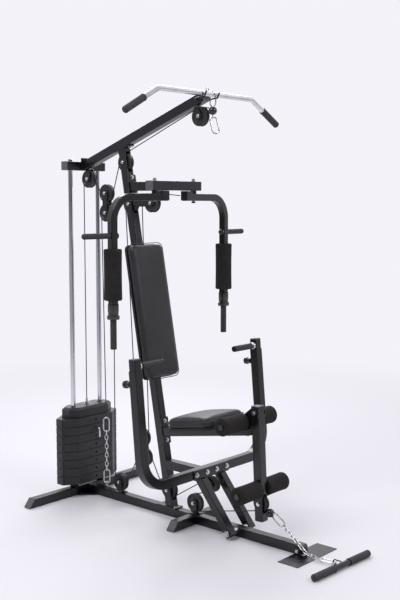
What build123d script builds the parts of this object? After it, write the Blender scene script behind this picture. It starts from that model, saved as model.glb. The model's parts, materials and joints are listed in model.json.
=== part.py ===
from build123d import *
from math import asin, atan2, ceil, cos, hypot, pi, radians, sin, tan
import os

# Home gym with one weight stack. Millimetres, +Z up, the user sits facing -Y.
# The origin is on the floor under the foot of the main upright, in the plane of symmetry.
# "right" pieces are on the -X side and "left" pieces on the +X side.

# ---- driving dimensions ----
TUBE = 45.0  # frame tube, square
WALL = 2.0
PLATE = 4.0  # bracket plate thickness
RUNNING = 0.05  # radial clearance of a turning fit
BOLT_R = 5.0

LEAN = 10.3  # upright and back pad lean rearward, degrees
BOOM_RISE = 19.8  # top boom rises toward the front, degrees
SEAT_RISE = 9.75  # seat beam rises toward the front, degrees
YOKE_LEAN = 5.24  # press yoke leans rearward, degrees
ARM_SWEEP = 4.5  # butterfly arms rest this far open, degrees

BEAM_FRONT = -795.0
FOOT_BOLT = (-785.0, 16.0)
REAR_FOOT_Y = 627.0
REAR_FOOT_HALF = 414.5
FRONT_FOOT_Y = -157.0
FRONT_FOOT_HALF = 183.0
FOOT_SLANT = 35.5  # how much shorter the top of a stabilizer is at each end
CAP = 4.0

FLANGE = 6.0
BOOM_REAR = (605.0, 1773.0)  # top rear corner of the boom, Y and Z
BOOM_LENGTH = 867.7
BRACKET_HALF = 129.0
BRACKET_Y = 630.0
BRACKET_Z = 1745.4

STACK_Y = 628.0
ROD_X = 94.9
ROD_R = 12.5
STACK_BOTTOM = 73.0
PLATE_PITCH = 44.0
PLATE_COUNT = 8
LIFTED_COUNT = 2
HEAD_HEIGHT = 54.0
STEM_R = 12.0
PIN_R = 4.5

WHEEL_R = 46.0
SMALL_WHEEL_R = 38.0
WHEEL_WIDTH = 24.0
GROOVE = 6.0
CABLE_R = 2.5
CABLE_GAP = 0.3

CROSSBAR_HALF = 169.0
CROSSBAR_Y = -20.0
CROSSBAR_Z = 1636.8
PEC_PIVOT_X = 136.5
PEC_PIVOT_Y = -22.4
PEC_TUBE = 35.0
PEC_ARM_Z = 1582.0
PEC_BEND = 105.0
PEC_REACH = 256.5  # pivot to the hanging part of the arm
FOAM_R = 42.0

YOKE_Z = 277.0
YOKE_Y = -234.0
YOKE_X = 433.5
YOKE_BEND = 126.0
YOKE_TOP = 536.0  # height of the open tube ends above the cross part, along the lean
POST = 40.0
KNOB_HEIGHT = 474.0  # along the lean, like YOKE_TOP
PRESS_PIVOT = (-434.0, 30.6)
LEVER_TUBE = 40.0
LEVER_X = 70.0

LEG_PIVOT = (-536.0, 603.0)
LEG_TUBE = 44.6
LEG_LEAN = 2.95
KNEE_ROD = (-473.0, 555.0)
ANKLE_ROD = (-557.5, 250.7)
ROLLER_R = 41.5
ROD_TUBE_R = 12.5

LAT_X = -10.0
LAT_Y = -240.0
LAT_Z = 2055.0
LAT_HALF = 326.0
LAT_TIP = (524.0, 1947.0)
GRIP_R = 16.0

# ---- derived places ----
HALF = TUBE / 2
WIRE_RUN = GROOVE - CABLE_R - CABLE_GAP  # how far the cable's centre sits below the rim
RUN_R = WHEEL_R - WIRE_RUN
SMALL_RUN_R = SMALL_WHEEL_R - WIRE_RUN
STACK_TOP = STACK_BOTTOM + PLATE_COUNT * PLATE_PITCH
HEAD_TOP = STACK_TOP + HEAD_HEIGHT
PIN_Z = STACK_TOP - (LIFTED_COUNT - 0.5) * PLATE_PITCH
UPRIGHT_FRONT = HALF / cos(radians(LEAN))  # half depth of the upright, measured level
BOOM_DROP = TUBE / cos(radians(BOOM_RISE))  # height of the boom, measured plumb


def upright_y(height):
    return (height - TUBE) * tan(radians(LEAN))


def boom_top(y):
    return BOOM_REAR[1] + (BOOM_REAR[0] - y) * tan(radians(BOOM_RISE))


def seat_beam_z(y):
    return 430.8 + (-11.0 - y) * tan(radians(SEAT_RISE))


# Pulley wheels: the axle's Y and Z, the radius at which the cable runs, and the way the cable
# turns around it (+1 counterclockwise, -1 clockwise, with +Y to the right and +Z up).
FRONT_TOP = (-190.0, 1956.0, RUN_R, -1)
JUNCTION = (upright_y(1757), 1757.0, RUN_R, -1)
BLOCK_UP_TOP = (452.0, 1604.0, RUN_R, 1)
BLOCK_UP_LOW = (452.0, 1504.0, RUN_R, 1)
REAR_TOP = (STACK_Y - RUN_R, 1679.0, RUN_R, -1)
REAR_LOW = (BLOCK_UP_LOW[0] - 2 * RUN_R, 100.0, RUN_R, -1)
BLOCK_DOWN_TOP = (202.0, 365.0, RUN_R, -1)
BLOCK_DOWN_LOW = (188.0, 266.0, RUN_R, 1)
BASE_WHEEL = (upright_y(130), 130.0, RUN_R, -1)
PRESS_WHEEL = (-268.0, 213.0, SMALL_RUN_R, 1)
FRONT_LOW = (-157.0, 99.0, RUN_R, -1)
LEG_WHEEL = (-562.0, 183.0, SMALL_RUN_R, -1)
PEC_FRONT = (125.0, 1554.0, RUN_R, 1)
PEC_REAR = (upright_y(1549), 1549.0, RUN_R, -1)
LAT_BALL = (-264.0, 1978.0)
LOW_BALL = (-613.0, 147.0)
BALL_R = 20.0

UP_AXIS = (0, sin(radians(LEAN)), cos(radians(LEAN)))
SEAT_AXIS = (0, -cos(radians(SEAT_RISE)), sin(radians(SEAT_RISE)))
BOOM_AXIS = (0, -cos(radians(BOOM_RISE)), sin(radians(BOOM_RISE)))
YOKE_AXIS = (0, sin(radians(YOKE_LEAN)), cos(radians(YOKE_LEAN)))
LEG_AXIS = (0, sin(radians(LEG_LEAN)), cos(radians(LEG_LEAN)))

os.makedirs("parts", exist_ok=True)


def save(piece, name):
    piece.part.label = name
    export_step(piece.part, "parts/" + name + ".step")


# ---- shapes that repeat; each adds to the part that is open around the call ----
def tube(plane, length, size=TUBE, wall=WALL):
    """Square tube that starts on the plane and runs along its normal."""
    with BuildSketch(plane) as profile:
        RectangleRounded(size, size, 4)
        RectangleRounded(size - 2 * wall, size - 2 * wall, 2, mode=Mode.SUBTRACT)
    extrude(profile.sketch, amount=length)


def bar(start, end, radius, mode=Mode.ADD):
    """Round bar between two points."""
    way = Vector(*end) - Vector(*start)
    with BuildSketch(Plane(origin=start, z_dir=way)) as profile:
        Circle(radius)
    extrude(profile.sketch, amount=way.length, mode=mode)


def block(center, size, mode=Mode.ADD):
    """Level box about its centre."""
    x, y, z = center
    with BuildSketch(Plane.XY.offset(z - size[2] / 2)) as profile:
        with Locations((x, y)):
            Rectangle(size[0], size[1])
    extrude(profile.sketch, amount=size[2], mode=mode)


def cheek_pair(points, radius, inner, holes=(), thickness=PLATE):
    """Two matching side plates: rounded about the points, drilled at the holes (Y, Z)."""
    for side in (-1, 1):
        with BuildSketch(Plane.YZ.offset(side * inner)) as outline:
            for point in points:
                with Locations(point):
                    Circle(radius)
            make_hull()
            for hole in holes:
                with Locations(hole):
                    Circle(BOLT_R + RUNNING, mode=Mode.SUBTRACT)
        extrude(outline.sketch, amount=side * thickness)


def cross_bolt(y, z, reach, radius=BOLT_R):
    """Bolt along X with a domed head and a domed nut just outside +-reach."""
    bar((-reach, y, z), (reach, y, z), radius)
    for side in (-1, 1):
        bar((side * reach, y, z), (side * (reach + 5), y, z), radius * 1.8)
        bar((side * (reach + 5), y, z), (side * (reach + 9), y, z), radius * 1.15)


def face_bolt(start, direction, radius=6.0):
    """Domed nut and washer on a face, pointing along direction."""
    first = Vector(*start)
    way = Vector(*direction).normalized()
    bar(tuple(first), tuple(first + way * 2), radius * 1.7)
    bar(tuple(first + way * 2), tuple(first + way * 9), radius)


def wheel(stop, rim=WHEEL_R, bore=BOLT_R + RUNNING):
    """Grooved pulley wheel about an axle along X."""
    y, z = stop[0], stop[1]
    half = WHEEL_WIDTH / 2
    base = rim - GROOVE
    with BuildSketch(Plane(origin=(0, y, z), x_dir=(1, 0, 0), z_dir=(0, 0, 1))) as profile:
        with BuildLine():
            Polyline(
                (-half, bore), (half, bore), (half, 15), (8, 17), (8, base - 5), (half - 1, base - 2),
                (half - 1, rim), (8.5, rim), (3.4, base), (-3.4, base), (-8.5, rim), (1 - half, rim),
                (1 - half, base - 2), (-8, base - 5), (-8, 17), (-half, 15), close=True,
            )
        make_face()
    revolve(profile.sketch, axis=Axis((0, y, z), (1, 0, 0)))


def leave_points(first, second):
    """Where the cable leaves one wheel and meets the next, on their common tangent."""
    ya, za, ra, sa = first
    yb, zb, rb, sb = second
    gap = hypot(yb - ya, zb - za)
    heading = atan2(zb - za, yb - ya) - asin((sb * rb - sa * ra) / gap)
    left = (-sin(heading), cos(heading))
    leave = (ya - sa * ra * left[0], za - sa * ra * left[1])
    meet = (yb - sb * rb * left[0], zb - sb * rb * left[1])
    return leave, meet


def ball_face(ball, toward):
    """Stop just off the surface of a ball, on the side that faces a point."""
    gap = hypot(toward[0] - ball[0], toward[1] - ball[1])
    share = (BALL_R + 0.5) / gap
    return (ball[0] + (toward[0] - ball[0]) * share, ball[1] + (toward[1] - ball[1]) * share, 0, 1)


def cable(stops):
    """Cable in the plane X = 0 from the first stop to the last, around the wheels between them."""
    with BuildLine(Plane.YZ) as route:
        met = None
        for first, second in zip(stops, stops[1:]):
            leave, meet = leave_points(first, second)
            if met is not None:
                angle_in = atan2(met[1] - first[1], met[0] - first[0])
                angle_out = atan2(leave[1] - first[1], leave[0] - first[0])
                swing = (first[3] * (angle_out - angle_in)) % (2 * pi)
                middle = angle_in + first[3] * swing / 2
                crest = (first[0] + first[2] * cos(middle), first[1] + first[2] * sin(middle))
                ThreePointArc(met, crest, leave)
            Line(leave, meet)
            met = meet
    path = route.wire()
    with BuildSketch(Plane(origin=path @ 0, z_dir=path % 0)) as section:
        Circle(CABLE_R)
    sweep(section.sketch, path=path)


def ring(center, length, width, wire, along, normal):
    """Closed wire loop with straight sides: a chain link or a carabiner."""
    straight = (length - width) / 2
    side = width / 2 - wire
    with BuildLine(Plane(origin=center, x_dir=along, z_dir=normal)) as loop:
        Line((-straight, -side), (straight, -side))
        ThreePointArc((straight, -side), (straight + side, 0), (straight, side))
        Line((straight, side), (-straight, side))
        ThreePointArc((-straight, side), (-straight - side, 0), (-straight, -side))
    path = loop.wire()
    with BuildSketch(Plane(origin=path @ 0, z_dir=path % 0)) as section:
        Circle(wire)
    sweep(section.sketch, path=path)


LINK_LENGTH = 33.0
LINK_WIDTH = 19.0
LINK_WIRE = 2.2
LINK_PITCH = LINK_LENGTH - 4 * LINK_WIRE - 0.1
CLIP_LENGTH = 82.0
CLIP_WIDTH = 38.0
CLIP_WIRE = 3.5


def chain(path, across):
    """Links along a path between the middles of the two wires that hold the chain's ends."""
    hang = LINK_LENGTH / 2 - 2 * LINK_WIRE - CLIP_WIRE - 0.3
    reach = path.length - 2 * hang
    gaps = ceil(reach / LINK_PITCH)
    for index in range(gaps + 1):
        place = hang + reach * index / gaps
        center = path.position_at(place, position_mode=PositionMode.LENGTH)
        along = path.tangent_at(place, position_mode=PositionMode.LENGTH)
        level = along.cross(Vector(*across)).normalized()
        normal = level.cross(along) if index % 2 == 0 else level
        ring(tuple(center), LINK_LENGTH, LINK_WIDTH, LINK_WIRE, tuple(along), tuple(normal))


def stabilizer_profile(half_length):
    """End view of a floor tube: its slanted ends meet the floor at +-half_length."""
    Polygon(
        (-half_length, 0), (half_length, 0), (half_length - FOOT_SLANT, TUBE),
        (FOOT_SLANT - half_length, TUBE), align=None,
    )


def octagon(half_length, end_half, flat_half, half_width):
    """Elongated eight-sided plate outline, centred on the stack."""
    corner = [(half_length, end_half), (flat_half, half_width)]
    right = corner + [(-x, y) for x, y in reversed(corner)]
    with Locations((0, STACK_Y)):
        Polygon(*(right + [(-x, -y) for x, y in right]), align=None)


# ================= base frame =================
with BuildPart() as base_beam:
    rear_end = REAR_FOOT_Y - HALF
    tube(Plane(origin=(0, rear_end, HALF), x_dir=(1, 0, 0), z_dir=(0, -1, 0)), rear_end - BEAM_FRONT)
    for side in (-1, 1):
        with BuildSketch(Plane.XY.offset(2)) as gusset:
            with BuildLine():
                Polyline(
                    (side * HALF, rear_end), (side * (HALF + 75), rear_end),
                    (side * HALF, rear_end - 85), close=True,
                )
            make_face()
        extrude(gusset.sketch, amount=6)
    block((0, BEAM_FRONT + 12, 1.5), (TUBE + 1, 80, 3), mode=Mode.SUBTRACT)
    bar((-40, *PRESS_PIVOT), (40, *PRESS_PIVOT), 8.02, Mode.SUBTRACT)
    bar((-40, *FOOT_BOLT), (40, *FOOT_BOLT), BOLT_R + RUNNING, Mode.SUBTRACT)
save(base_beam, "base_beam")

with BuildPart() as rear_stabilizer:
    with BuildSketch(Plane.XZ.offset(-REAR_FOOT_Y - HALF)) as outline:
        stabilizer_profile(REAR_FOOT_HALF)
    extrude(outline.sketch, amount=TUBE)
    fillet(rear_stabilizer.edges().filter_by(Axis.X), 4)
    with BuildSketch(Plane.YZ.offset(-REAR_FOOT_HALF)) as hollow:
        with Locations((REAR_FOOT_Y, HALF)):
            RectangleRounded(TUBE - 2 * WALL, TUBE - 2 * WALL, 2)
    extrude(hollow.sketch, amount=2 * REAR_FOOT_HALF, mode=Mode.SUBTRACT)
save(rear_stabilizer, "rear_stabilizer")

with BuildPart() as front_stabilizer:
    with BuildSketch(Plane.XZ.offset(-FRONT_FOOT_Y - HALF)) as outline:
        stabilizer_profile(FRONT_FOOT_HALF)
    extrude(outline.sketch, amount=TUBE)
    fillet(front_stabilizer.edges().filter_by(Axis.X), 4)
    with BuildSketch(Plane.YZ.offset(-FRONT_FOOT_HALF)) as hollow:
        with Locations((FRONT_FOOT_Y, HALF)):
            RectangleRounded(TUBE - 2 * WALL, TUBE - 2 * WALL, 2)
    extrude(hollow.sketch, amount=2 * FRONT_FOOT_HALF, mode=Mode.SUBTRACT)
    block((0, FRONT_FOOT_Y, HALF), (TUBE, TUBE + 2, TUBE + 2), mode=Mode.SUBTRACT)
save(front_stabilizer, "front_stabilizer")

with BuildPart() as end_caps:
    slant = Vector(TUBE, 0, FOOT_SLANT).normalized()
    for y, half_length in ((REAR_FOOT_Y, REAR_FOOT_HALF), (FRONT_FOOT_Y, FRONT_FOOT_HALF)):
        for side in (-1, 1):
            middle = (side * (half_length - FOOT_SLANT / 2), y, HALF)
            face = Plane(origin=middle, x_dir=(0, 1, 0), z_dir=(side * slant.X, 0, slant.Z))
            with BuildSketch(face) as cap:
                RectangleRounded(TUBE, hypot(TUBE, FOOT_SLANT) - 1, 4)
            extrude(cap.sketch, amount=CAP)
    for side in (-1, 1):
        for half_length, y, z in (
            (BRACKET_HALF, BRACKET_Y, BRACKET_Z), (CROSSBAR_HALF, CROSSBAR_Y, CROSSBAR_Z),
        ):
            face = Plane(origin=(side * half_length, y, z), x_dir=(0, 1, 0), z_dir=(side, 0, 0))
            with BuildSketch(face) as cap:
                RectangleRounded(TUBE, TUBE, 4)
            extrude(cap.sketch, amount=CAP)
    boom_end = Vector(0, *BOOM_REAR) + Vector(*BOOM_AXIS) * BOOM_LENGTH
    boom_end -= Vector(0, sin(radians(BOOM_RISE)), cos(radians(BOOM_RISE))) * HALF
    with BuildSketch(Plane(origin=boom_end, x_dir=(1, 0, 0), z_dir=BOOM_AXIS)) as cap:
        RectangleRounded(TUBE, TUBE, 4)
    extrude(cap.sketch, amount=CAP)
    with BuildSketch(Plane(origin=(0, BEAM_FRONT, 24), x_dir=(1, 0, 0), z_dir=(0, -1, 0))) as cap:
        RectangleRounded(TUBE, 42, 4)
    extrude(cap.sketch, amount=20)
    fillet(end_caps.edges().filter_by(Axis.X).sort_by(Axis.Y)[:2], 18)
save(end_caps, "end_caps")

FOOT_PLATE_REAR = -769.0
FOOT_PLATE_FRONT = -877.0
with BuildPart() as foot_plate:
    middle_y = (FOOT_PLATE_REAR + FOOT_PLATE_FRONT) / 2
    block((0, middle_y, 1.5), (301.4, FOOT_PLATE_REAR - FOOT_PLATE_FRONT, 3))
    block((0, FOOT_PLATE_REAR, 1.5), (TUBE + 1, 100, 3), mode=Mode.SUBTRACT)
    for side in (-1, 1):
        block((side * (HALF + 2.5), FOOT_BOLT[0], 17), (4, 30, 34))
    bar((-40, *FOOT_BOLT), (40, *FOOT_BOLT), BOLT_R + RUNNING, Mode.SUBTRACT)
save(foot_plate, "foot_plate")

# ================= upright, boom and rear bracket =================
BOOM_PLATE = 106.0  # length of the plate between the upright and the boom
STOP_Z = 260.0  # middle of the short arm that the press yoke rests against
STOP_FRONT = -210.2
rise = tan(radians(BOOM_RISE))
lean = tan(radians(LEAN))
boom_seat_z = (BOOM_REAR[1] - BOOM_DROP + rise * (BOOM_REAR[0] + TUBE * lean)) / (1 + rise * lean)
boom_down = (0, -sin(radians(BOOM_RISE)), -cos(radians(BOOM_RISE)))
boom_seat = Plane(origin=(0, upright_y(boom_seat_z), boom_seat_z), x_dir=(1, 0, 0), z_dir=boom_down)
with BuildPart() as main_upright:
    tube(Plane(origin=(0, -3.6, TUBE - 20), x_dir=(1, 0, 0), z_dir=UP_AXIS), 1950)
    split(bisect_by=Plane.XY.offset(TUBE + FLANGE), keep=Keep.TOP)
    split(bisect_by=boom_seat, keep=Keep.TOP)
    for stop in (JUNCTION, PEC_REAR, BASE_WHEEL):
        across = Plane(origin=(0, stop[0], stop[1]), x_dir=(1, 0, 0), z_dir=(0, 1, -tan(radians(LEAN))))
        with BuildSketch(across) as slot:
            RectangleRounded(WHEEL_WIDTH + 4, 2 * WHEEL_R + 12, 6)
        extrude(slot.sketch, amount=40, both=True, mode=Mode.SUBTRACT)
        bar((-40, stop[0], stop[1]), (40, stop[0], stop[1]), BOLT_R + RUNNING, Mode.SUBTRACT)
    with BuildSketch(boom_seat) as top_plate:
        RectangleRounded(TUBE, BOOM_PLATE, 3)
    extrude(top_plate.sketch, amount=5)
    block((0, 16, TUBE + FLANGE / 2), (56, 128, FLANGE))
    stop_start = upright_y(STOP_Z) - UPRIGHT_FRONT + 2
    stop_plane = Plane(origin=(0, stop_start, STOP_Z), x_dir=(1, 0, 0), z_dir=(0, -1, 0))
    tube(stop_plane, stop_start - STOP_FRONT)
    with BuildSketch(Plane.XY.offset(1536)) as anchor_tab:
        with Locations((HALF + 16, upright_y(1536) - 32)):
            RectangleRounded(32, 40, 6)
        with Locations((44, 241.4)):
            Circle(CABLE_R + 1, mode=Mode.SUBTRACT)
    extrude(anchor_tab.sketch, amount=5)
save(main_upright, "main_upright")

HOOK_X = 46.0
HOOK_WIRE = 4.0
with BuildPart() as top_boom:
    tube(
        Plane(
            origin=Vector(0, *BOOM_REAR) - Vector(*BOOM_AXIS) * 20
            - Vector(0, sin(radians(BOOM_RISE)), cos(radians(BOOM_RISE))) * HALF,
            x_dir=(1, 0, 0), z_dir=BOOM_AXIS,
        ),
        BOOM_LENGTH + 20,
    )
    split(bisect_by=Plane(origin=(0, BRACKET_Y - HALF - 5, 0), z_dir=(0, -1, 0)), keep=Keep.TOP)
    block((0, BRACKET_Y - HALF - 2.5, BRACKET_Z + 9.5), (76, 5, 64))
    hook_y = LAT_Y + 48
    low_z = LAT_Z - ROD_TUBE_R - HOOK_WIRE - 0.4
    with BuildLine() as hook_path:
        for_side = [
            (HOOK_X, LAT_Y - 26, LAT_Z + 10), (HOOK_X, LAT_Y - 12, low_z), (HOOK_X, LAT_Y + 14, low_z),
            (HOOK_X, hook_y, LAT_Z - 22),
        ]
        mirrored = [(-x, y, z) for x, y, z in reversed(for_side)]
        FilletPolyline(*(for_side + mirrored), radius=8)
    with BuildSketch(Plane(origin=hook_path.wire() @ 0, z_dir=hook_path.wire() % 0)) as wire_section:
        Circle(HOOK_WIRE)
    sweep(wire_section.sketch, path=hook_path.wire())
save(top_boom, "top_boom")

with BuildPart() as guide_rod_bracket:
    bracket_end = Plane(origin=(-BRACKET_HALF, BRACKET_Y, BRACKET_Z), x_dir=(0, 1, 0), z_dir=(1, 0, 0))
    tube(bracket_end, 2 * BRACKET_HALF)
    for side in (-1, 1):
        bar((side * ROD_X, STACK_Y, 1700), (side * ROD_X, STACK_Y, 1800), ROD_R, Mode.SUBTRACT)
save(guide_rod_bracket, "guide_rod_bracket")

with BuildPart() as guide_rods:
    for side in (-1, 1):
        bar((side * ROD_X, STACK_Y, TUBE), (side * ROD_X, STACK_Y, BRACKET_Z + HALF + 12), ROD_R)
    chamfer(guide_rods.edges().filter_by(GeomType.CIRCLE).group_by(Axis.Z)[-1], 2)
save(guide_rods, "guide_rods")

with BuildPart() as rubber_bumpers:
    with BuildSketch(Plane.XY.offset(TUBE)) as cushion:
        with Locations((-ROD_X, STACK_Y), (ROD_X, STACK_Y)):
            Circle(22)
            Circle(ROD_R, mode=Mode.SUBTRACT)
    extrude(cushion.sketch, amount=STACK_BOTTOM - TUBE)
save(rubber_bumpers, "rubber_bumpers")

# ================= weight stack =================
PLATE_OUTLINE = (195.0, 24.0, 118.0, 72.0)
HEAD_OUTLINE = (150.0, 28.0, 100.0, 60.0)


def weight_plate(index):
    """One stack plate; index 0 is the lowest."""
    low = STACK_BOTTOM + index * PLATE_PITCH
    with BuildPart(mode=Mode.PRIVATE) as plate:
        with BuildSketch(Plane.XY.offset(low)) as outline:
            octagon(*PLATE_OUTLINE)
        extrude(outline.sketch, amount=PLATE_PITCH)
        chamfer(plate.edges().group_by(Axis.Z)[0] + plate.edges().group_by(Axis.Z)[-1], 3)
        with BuildSketch(Plane.XY.offset(low)) as holes:
            with Locations((-ROD_X, STACK_Y), (ROD_X, STACK_Y)):
                Circle(ROD_R + 1)
            with Locations((0, STACK_Y)):
                Circle(STEM_R + 2)
            for side in (-1, 1):
                with Locations((side * 192, STACK_Y - 28), (side * 192, STACK_Y + 28)):
                    Circle(6)
        extrude(holes.sketch, amount=PLATE_PITCH, mode=Mode.SUBTRACT)
        pin_z = low + PLATE_PITCH / 2
        bar((0, STACK_Y - 80, pin_z), (0, STACK_Y, pin_z), PIN_R + 1, Mode.SUBTRACT)
    return plate.part


with BuildPart() as weight_plates_lower:
    for index in range(PLATE_COUNT - LIFTED_COUNT):
        add(weight_plate(index))
save(weight_plates_lower, "weight_plates_lower")

with BuildPart() as weight_plates_lifted:
    for index in range(PLATE_COUNT - LIFTED_COUNT, PLATE_COUNT):
        add(weight_plate(index))
save(weight_plates_lifted, "weight_plates_lifted")

with BuildPart() as head_plate:
    with BuildSketch(Plane.XY.offset(STACK_TOP)) as outline:
        octagon(*HEAD_OUTLINE)
    extrude(outline.sketch, amount=HEAD_HEIGHT)
    chamfer(head_plate.edges().group_by(Axis.Z)[-1], 12)
    with BuildSketch(Plane.XY.offset(STACK_TOP)) as holes:
        with Locations((-ROD_X, STACK_Y), (ROD_X, STACK_Y)):
            Circle(ROD_R + 1)
    extrude(holes.sketch, amount=HEAD_HEIGHT, mode=Mode.SUBTRACT)
save(head_plate, "head_plate")

SOCKET_TOP = HEAD_TOP + 36
with BuildPart() as selector_stem:
    bar((0, STACK_Y, STACK_BOTTOM + 8), (0, STACK_Y, STACK_TOP), STEM_R)
    for index in range(PLATE_COUNT):
        pin_z = STACK_BOTTOM + (index + 0.5) * PLATE_PITCH
        bar((0, STACK_Y - 20, pin_z), (0, STACK_Y + 20, pin_z), PIN_R + 0.5, Mode.SUBTRACT)
    bar((0, STACK_Y, HEAD_TOP), (0, STACK_Y, HEAD_TOP + 3), 17)
    with BuildSketch(Plane.XY.offset(HEAD_TOP + 3)) as nut:
        with Locations((0, STACK_Y)):
            RegularPolygon(11, 6)
    extrude(nut.sketch, amount=9)
    bar((0, STACK_Y, HEAD_TOP + 12), (0, STACK_Y, SOCKET_TOP), 6)
save(selector_stem, "selector_stem")

with BuildPart() as selector_pin:
    with BuildLine() as pin_path:
        FilletPolyline(
            (0, STACK_Y + STEM_R + 0.5, PIN_Z), (0, STACK_Y - 98, PIN_Z), (0, STACK_Y - 101, PIN_Z - 46),
            radius=7,
        )
    with BuildSketch(Plane(origin=pin_path.wire() @ 0, z_dir=pin_path.wire() % 0)) as pin_section:
        Circle(PIN_R)
    sweep(pin_section.sketch, path=pin_path.wire())
save(selector_pin, "selector_pin")

# ================= crossbar of the butterfly arms =================
with BuildPart() as pec_crossbar:
    crossbar_end = Plane(origin=(-CROSSBAR_HALF, CROSSBAR_Y, CROSSBAR_Z), x_dir=(0, 1, 0), z_dir=(1, 0, 0))
    tube(crossbar_end, 2 * CROSSBAR_HALF)
    for side in (-1, 1):
        pivot_x = side * PEC_PIVOT_X
        bar((pivot_x, PEC_PIVOT_Y, 1600), (pivot_x, PEC_PIVOT_Y, 1700), 6.01, Mode.SUBTRACT)
    rear_face = CROSSBAR_Y + HALF
    support = upright_y(CROSSBAR_Z) - UPRIGHT_FRONT - rear_face
    tube(Plane(origin=(0, rear_face, CROSSBAR_Z), x_dir=(1, 0, 0), z_dir=(0, 1, 0)), support + 20)
    front_face = Plane(
        origin=(0, upright_y(1650) - UPRIGHT_FRONT - 5, 1650), x_dir=(1, 0, 0),
        z_dir=(0, -cos(radians(LEAN)), sin(radians(LEAN))),
    )
    split(bisect_by=front_face, keep=Keep.TOP)
    with BuildSketch(front_face) as plate:
        RectangleRounded(56, 92, 5)
    extrude(plate.sketch, amount=-4.9)
save(pec_crossbar, "pec_crossbar")

# ================= brackets that hold the pulleys =================
CHEEK = WHEEL_WIDTH / 2 + 1
with BuildPart() as pulley_brackets:
    holder_z = boom_top(FRONT_TOP[0] + 14) - BOOM_DROP - 2
    cheek_pair([(FRONT_TOP[0], FRONT_TOP[1]), (FRONT_TOP[0] + 14, holder_z - 18)], 16, CHEEK, [FRONT_TOP[:2]])
    holder_z = boom_top(REAR_TOP[0] - 8) - BOOM_DROP - 2
    cheek_pair([(REAR_TOP[0], REAR_TOP[1]), (REAR_TOP[0] - 6, holder_z - 20)], 17, CHEEK, [REAR_TOP[:2]])
    for stop in (REAR_LOW, FRONT_LOW):
        cheek_pair([(stop[0], stop[1]), (stop[0], TUBE + 25)], 20, CHEEK, [stop[:2]])
        block((0, stop[0], TUBE + 2), (TUBE, 52, 4))
    wall_y = upright_y(PEC_FRONT[1]) - UPRIGHT_FRONT - 22
    cheek_pair([(PEC_FRONT[0], PEC_FRONT[1]), (wall_y, 1558)], 18, CHEEK, [PEC_FRONT[:2]])
save(pulley_brackets, "pulley_brackets")

with BuildPart() as guide_pulleys:
    for stop in (REAR_LOW, BASE_WHEEL, FRONT_LOW, PEC_FRONT, PEC_REAR):
        wheel(stop)
save(guide_pulleys, "guide_pulleys")

for name, stop in (
    ("pulley_top_front", FRONT_TOP), ("pulley_junction", JUNCTION), ("pulley_top_rear", REAR_TOP),
):
    with BuildPart() as top_wheel:
        wheel(stop)
    save(top_wheel, name)

for name, upper, lower in (
    ("block_upper", BLOCK_UP_TOP, BLOCK_UP_LOW), ("block_lower", BLOCK_DOWN_TOP, BLOCK_DOWN_LOW),
):
    with BuildPart() as block_plates:
        cheek_pair([upper[:2], lower[:2]], 17, CHEEK)
        for stop in (upper, lower):
            cross_bolt(stop[0], stop[1], CHEEK + PLATE)
    save(block_plates, name + "_plates")
    with BuildPart() as block_wheels:
        wheel(upper)
        wheel(lower)
    save(block_wheels, name + "_wheels")

with BuildPart() as frame_bolts:
    for stop in (FRONT_TOP, REAR_TOP, REAR_LOW, FRONT_LOW, PEC_FRONT):
        cross_bolt(stop[0], stop[1], CHEEK + PLATE)
    for stop in (JUNCTION, PEC_REAR, BASE_WHEEL):
        cross_bolt(stop[0], stop[1], HALF)
    cross_bolt(FOOT_BOLT[0], FOOT_BOLT[1], HALF + 4.5)
    cross_bolt(LEG_PIVOT[0], LEG_PIVOT[1], HALF + PLATE, 6)
    for side in (-1, 1):
        pivot_x = side * PEC_PIVOT_X
        under_arm = PEC_ARM_Z - PEC_TUBE / 2 - 3
        bar((pivot_x, PEC_PIVOT_Y, under_arm), (pivot_x, PEC_PIVOT_Y, 1672), 6)
        bar((pivot_x, PEC_PIVOT_Y, under_arm - 8), (pivot_x, PEC_PIVOT_Y, under_arm), 10)
        bar((pivot_x, PEC_PIVOT_Y, CROSSBAR_Z + HALF), (pivot_x, PEC_PIVOT_Y, CROSSBAR_Z + HALF + 3), 12)
        bar((pivot_x, PEC_PIVOT_Y, CROSSBAR_Z + HALF + 3), (pivot_x, PEC_PIVOT_Y, 1672), 9)
        face_bolt((side * 19, 62 if side > 0 else -40, TUBE + FLANGE), (0, 0, 1))
        plate_end = boom_seat.origin + Vector(*BOOM_AXIS) * (side * (BOOM_PLATE / 2 - 12))
        face_bolt(tuple(plate_end + Vector(*boom_down) * 5.1), boom_down)
    forward = (0, -cos(radians(LEAN)), sin(radians(LEAN)))
    for height, depth in ((1683, 5.0), (474, 5.0), (380, 5.0)):
        face = upright_y(height) - UPRIGHT_FRONT - (depth + 0.1) / cos(radians(LEAN))
        face_bolt((0, face, height), forward)
    bar((-92, *PRESS_PIVOT), (92, *PRESS_PIVOT), 8)
    for side in (-1, 1):
        with BuildSketch(Plane.YZ.offset(side * (HALF + 0.2))) as spacer:
            with Locations(PRESS_PIVOT):
                Circle(14)
                Circle(8, mode=Mode.SUBTRACT)
        extrude(spacer.sketch, amount=side * (LEVER_X - LEVER_TUBE / 2 - HALF - 0.5))
        bar((side * 92, *PRESS_PIVOT), (side * 95, *PRESS_PIVOT), 14)
        bar((side * 95, *PRESS_PIVOT), (side * 104, *PRESS_PIVOT), 10)
save(frame_bolts, "frame_bolts")

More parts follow.
